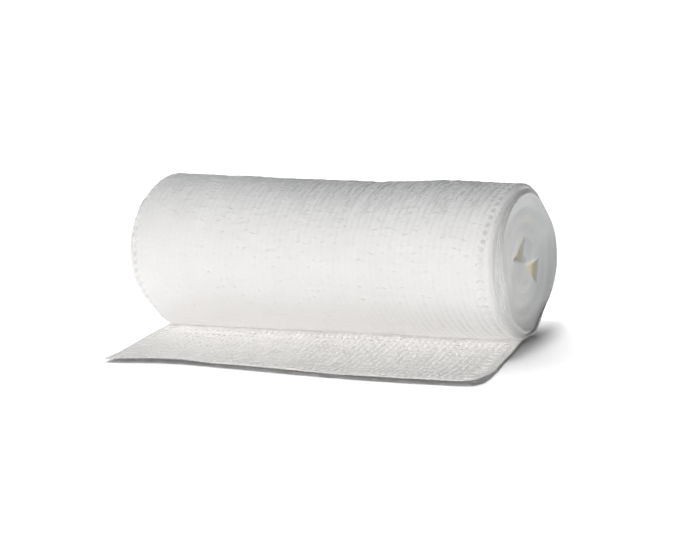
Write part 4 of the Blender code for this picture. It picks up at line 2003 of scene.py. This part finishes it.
@dataclass(frozen=True)
class Studio:
    """A white table in soft light. The object's own light comes low from the viewer's left."""

    key: SoftLight = SoftLight("key", -13.0, 38.5, 36.0, 1.61, (1.0, 0.98, 0.96))
    low_key: SoftLight = SoftLight("low_key", -3.0, -2.0, 40.0, 0.56, (1.0, 0.985, 0.97))
    top_light: SoftLight = SoftLight("top_light", 250.0, 60.0, 40.0, 0.72, (0.87, 0.95, 1.0))
    end_glow: SoftLight = SoftLight("end_glow", 163.0, -44.0, 50.0, 1.40, (1.0, 0.98, 0.95))
    end_light: SoftLight = SoftLight("end_light", 60.0, -15.0, 50.0, 0.26, (1.0, 0.99, 0.97))
    cloth_light: SoftLight = SoftLight("loose_end_light", -20.0, 62.0, 40.0, 1.38, (1.0, 0.99, 0.98))
    table_lights: tuple[SoftLight, ...] = (
        SoftLight("table_light_high", 225.0, 80.5, 14.0, 2.45),
        SoftLight("table_light_back", 205.0, 60.0, 42.0, 1.15),
        SoftLight("table_light_front", -8.5, 44.7, 30.0, 0.26),
    )
    edge_light: SoftLight = SoftLight("edge_light", 222.0, 42.0, 60.0, 3.70)
    sky: Colour = (0.90, 0.96, 1.0)
    sky_strength: float = 0.05
    table: Colour = (0.65, 0.65, 0.65)

    def build(self, pieces: list[bpy.types.Object]) -> None:
        """Builds the table, the lights, the surroundings and the view.

        Args:
            pieces: The pieces that the object's own light falls on.
        """
        leave_edit_mode()
        bpy.ops.mesh.primitive_plane_add(size=8.0, location=(0.0, 0.0, -0.0002))
        table = bpy.context.active_object
        table.name = "table"
        bpy.ops.object.transform_apply(location=True, rotation=False, scale=False)
        material = bpy.data.materials.new("white_table")
        material.use_nodes = True
        shader = material.node_tree.nodes["Principled BSDF"]
        shader.inputs["Base Color"].default_value = (*self.table, 1.0)
        shader.inputs["Roughness"].default_value = 0.9
        shader.inputs["Specular IOR Level"].default_value = 0.1
        table.data.materials.append(material)
        table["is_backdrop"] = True
        cloth = [piece for piece in pieces if piece.name.startswith("loose_end")]
        wound = [piece for piece in pieces if piece not in cloth]
        self.key.build(pieces)
        self.low_key.build(wound, wound)
        self.top_light.build(wound, wound)
        self.end_glow.build(pieces, wound)
        self.end_light.build(wound, wound)
        self.cloth_light.build(cloth, cloth)
        for light in self.table_lights:
            light.build([table])
        ends = [piece for piece in wound if piece.name in ("right_selvages", "inner_turns")]
        self.edge_light.build([table], cloth + ends)
        world = bpy.data.worlds.new("studio_air")
        world.use_nodes = True
        air = world.node_tree.nodes["Background"]
        air.inputs["Color"].default_value = (*self.sky, 1.0)
        air.inputs["Strength"].default_value = self.sky_strength
        bpy.context.scene.world = world
        bpy.context.scene.view_settings.view_transform = "Standard"
        # With the light tree on, the linked lights gave one of two pictures from run to run.
        bpy.context.scene.cycles.use_light_tree = False
        View().build()


# --------------------------------------------------------------------------- putting it together


def box_of(bounds: object) -> list:
    """A box as plain lists of numbers."""
    return [[float(value) for value in corner] for corner in bounds]


def main() -> None:
    """Builds the roll, its loose end and the studio, in that order."""
    logging.basicConfig(level=logging.INFO, format="%(name)s: %(message)s")
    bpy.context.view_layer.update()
    strip, form = Strip(), WoundForm()
    loose_lay = LooseLay(strip=strip)
    turn_lay = TurnLay(form=form, strip=strip, loose=loose_lay)
    profile = EndProfile(form=form)
    effects = CottonEffects()

    under, columns, inlays = (
        Dressing(finish.material(effects), "gauze_wound")
        for finish in (
            UnderFinish("gauze_under", (0.79, 0.785, 0.78), (0.765, 0.76, 0.755)),
            YarnFinish("gauze_columns", (0.81, 0.805, 0.80), (0.78, 0.775, 0.77)),
            # The inlaid yarns and fibres are the same cotton as the columns, painted brighter: a
            # painted highlight where they stand out in the light.
            YarnFinish("gauze_inlays_painted_bright", (0.96, 0.955, 0.95), (0.92, 0.915, 0.91)),
        )
    )
    loose_web, loose_columns, loose_inlays = (
        Dressing(finish.material(effects), "gauze_sheet")
        for finish in (
            WebFinish("gauze_web", (0.80, 0.79, 0.785), (0.76, 0.75, 0.745)),
            YarnFinish("gauze_sheet_columns", (0.84, 0.83, 0.82), (0.79, 0.78, 0.775)),
            # The inlaid yarns are painted brighter than the columns: a painted highlight.
            YarnFinish("gauze_sheet_inlays_painted_bright", (0.94, 0.935, 0.93), (0.88, 0.875, 0.87)),
        )
    )

    pieces = [WoundBody(form, turn_lay, profile, strip).build(under)]
    pieces += OuterTurn(strip, turn_lay).build(columns, inlays)
    right = EdgeLay(End.RIGHT, profile=profile, outer=turn_lay)
    pieces.append(EdgeTurns(strip, right).build("right_selvages", columns))
    left = EdgeLay(End.LEFT, turns=4.0, first=0.60, last=0.98, profile=profile, outer=turn_lay)
    pieces.append(EdgeTurns(strip, left).build("left_selvages", columns))
    pieces += LooseEnd(strip, loose_lay).build(loose_web, loose_columns, loose_inlays)
    Studio().build(pieces)
    box_of(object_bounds())


if __name__ == "__main__":
    main()
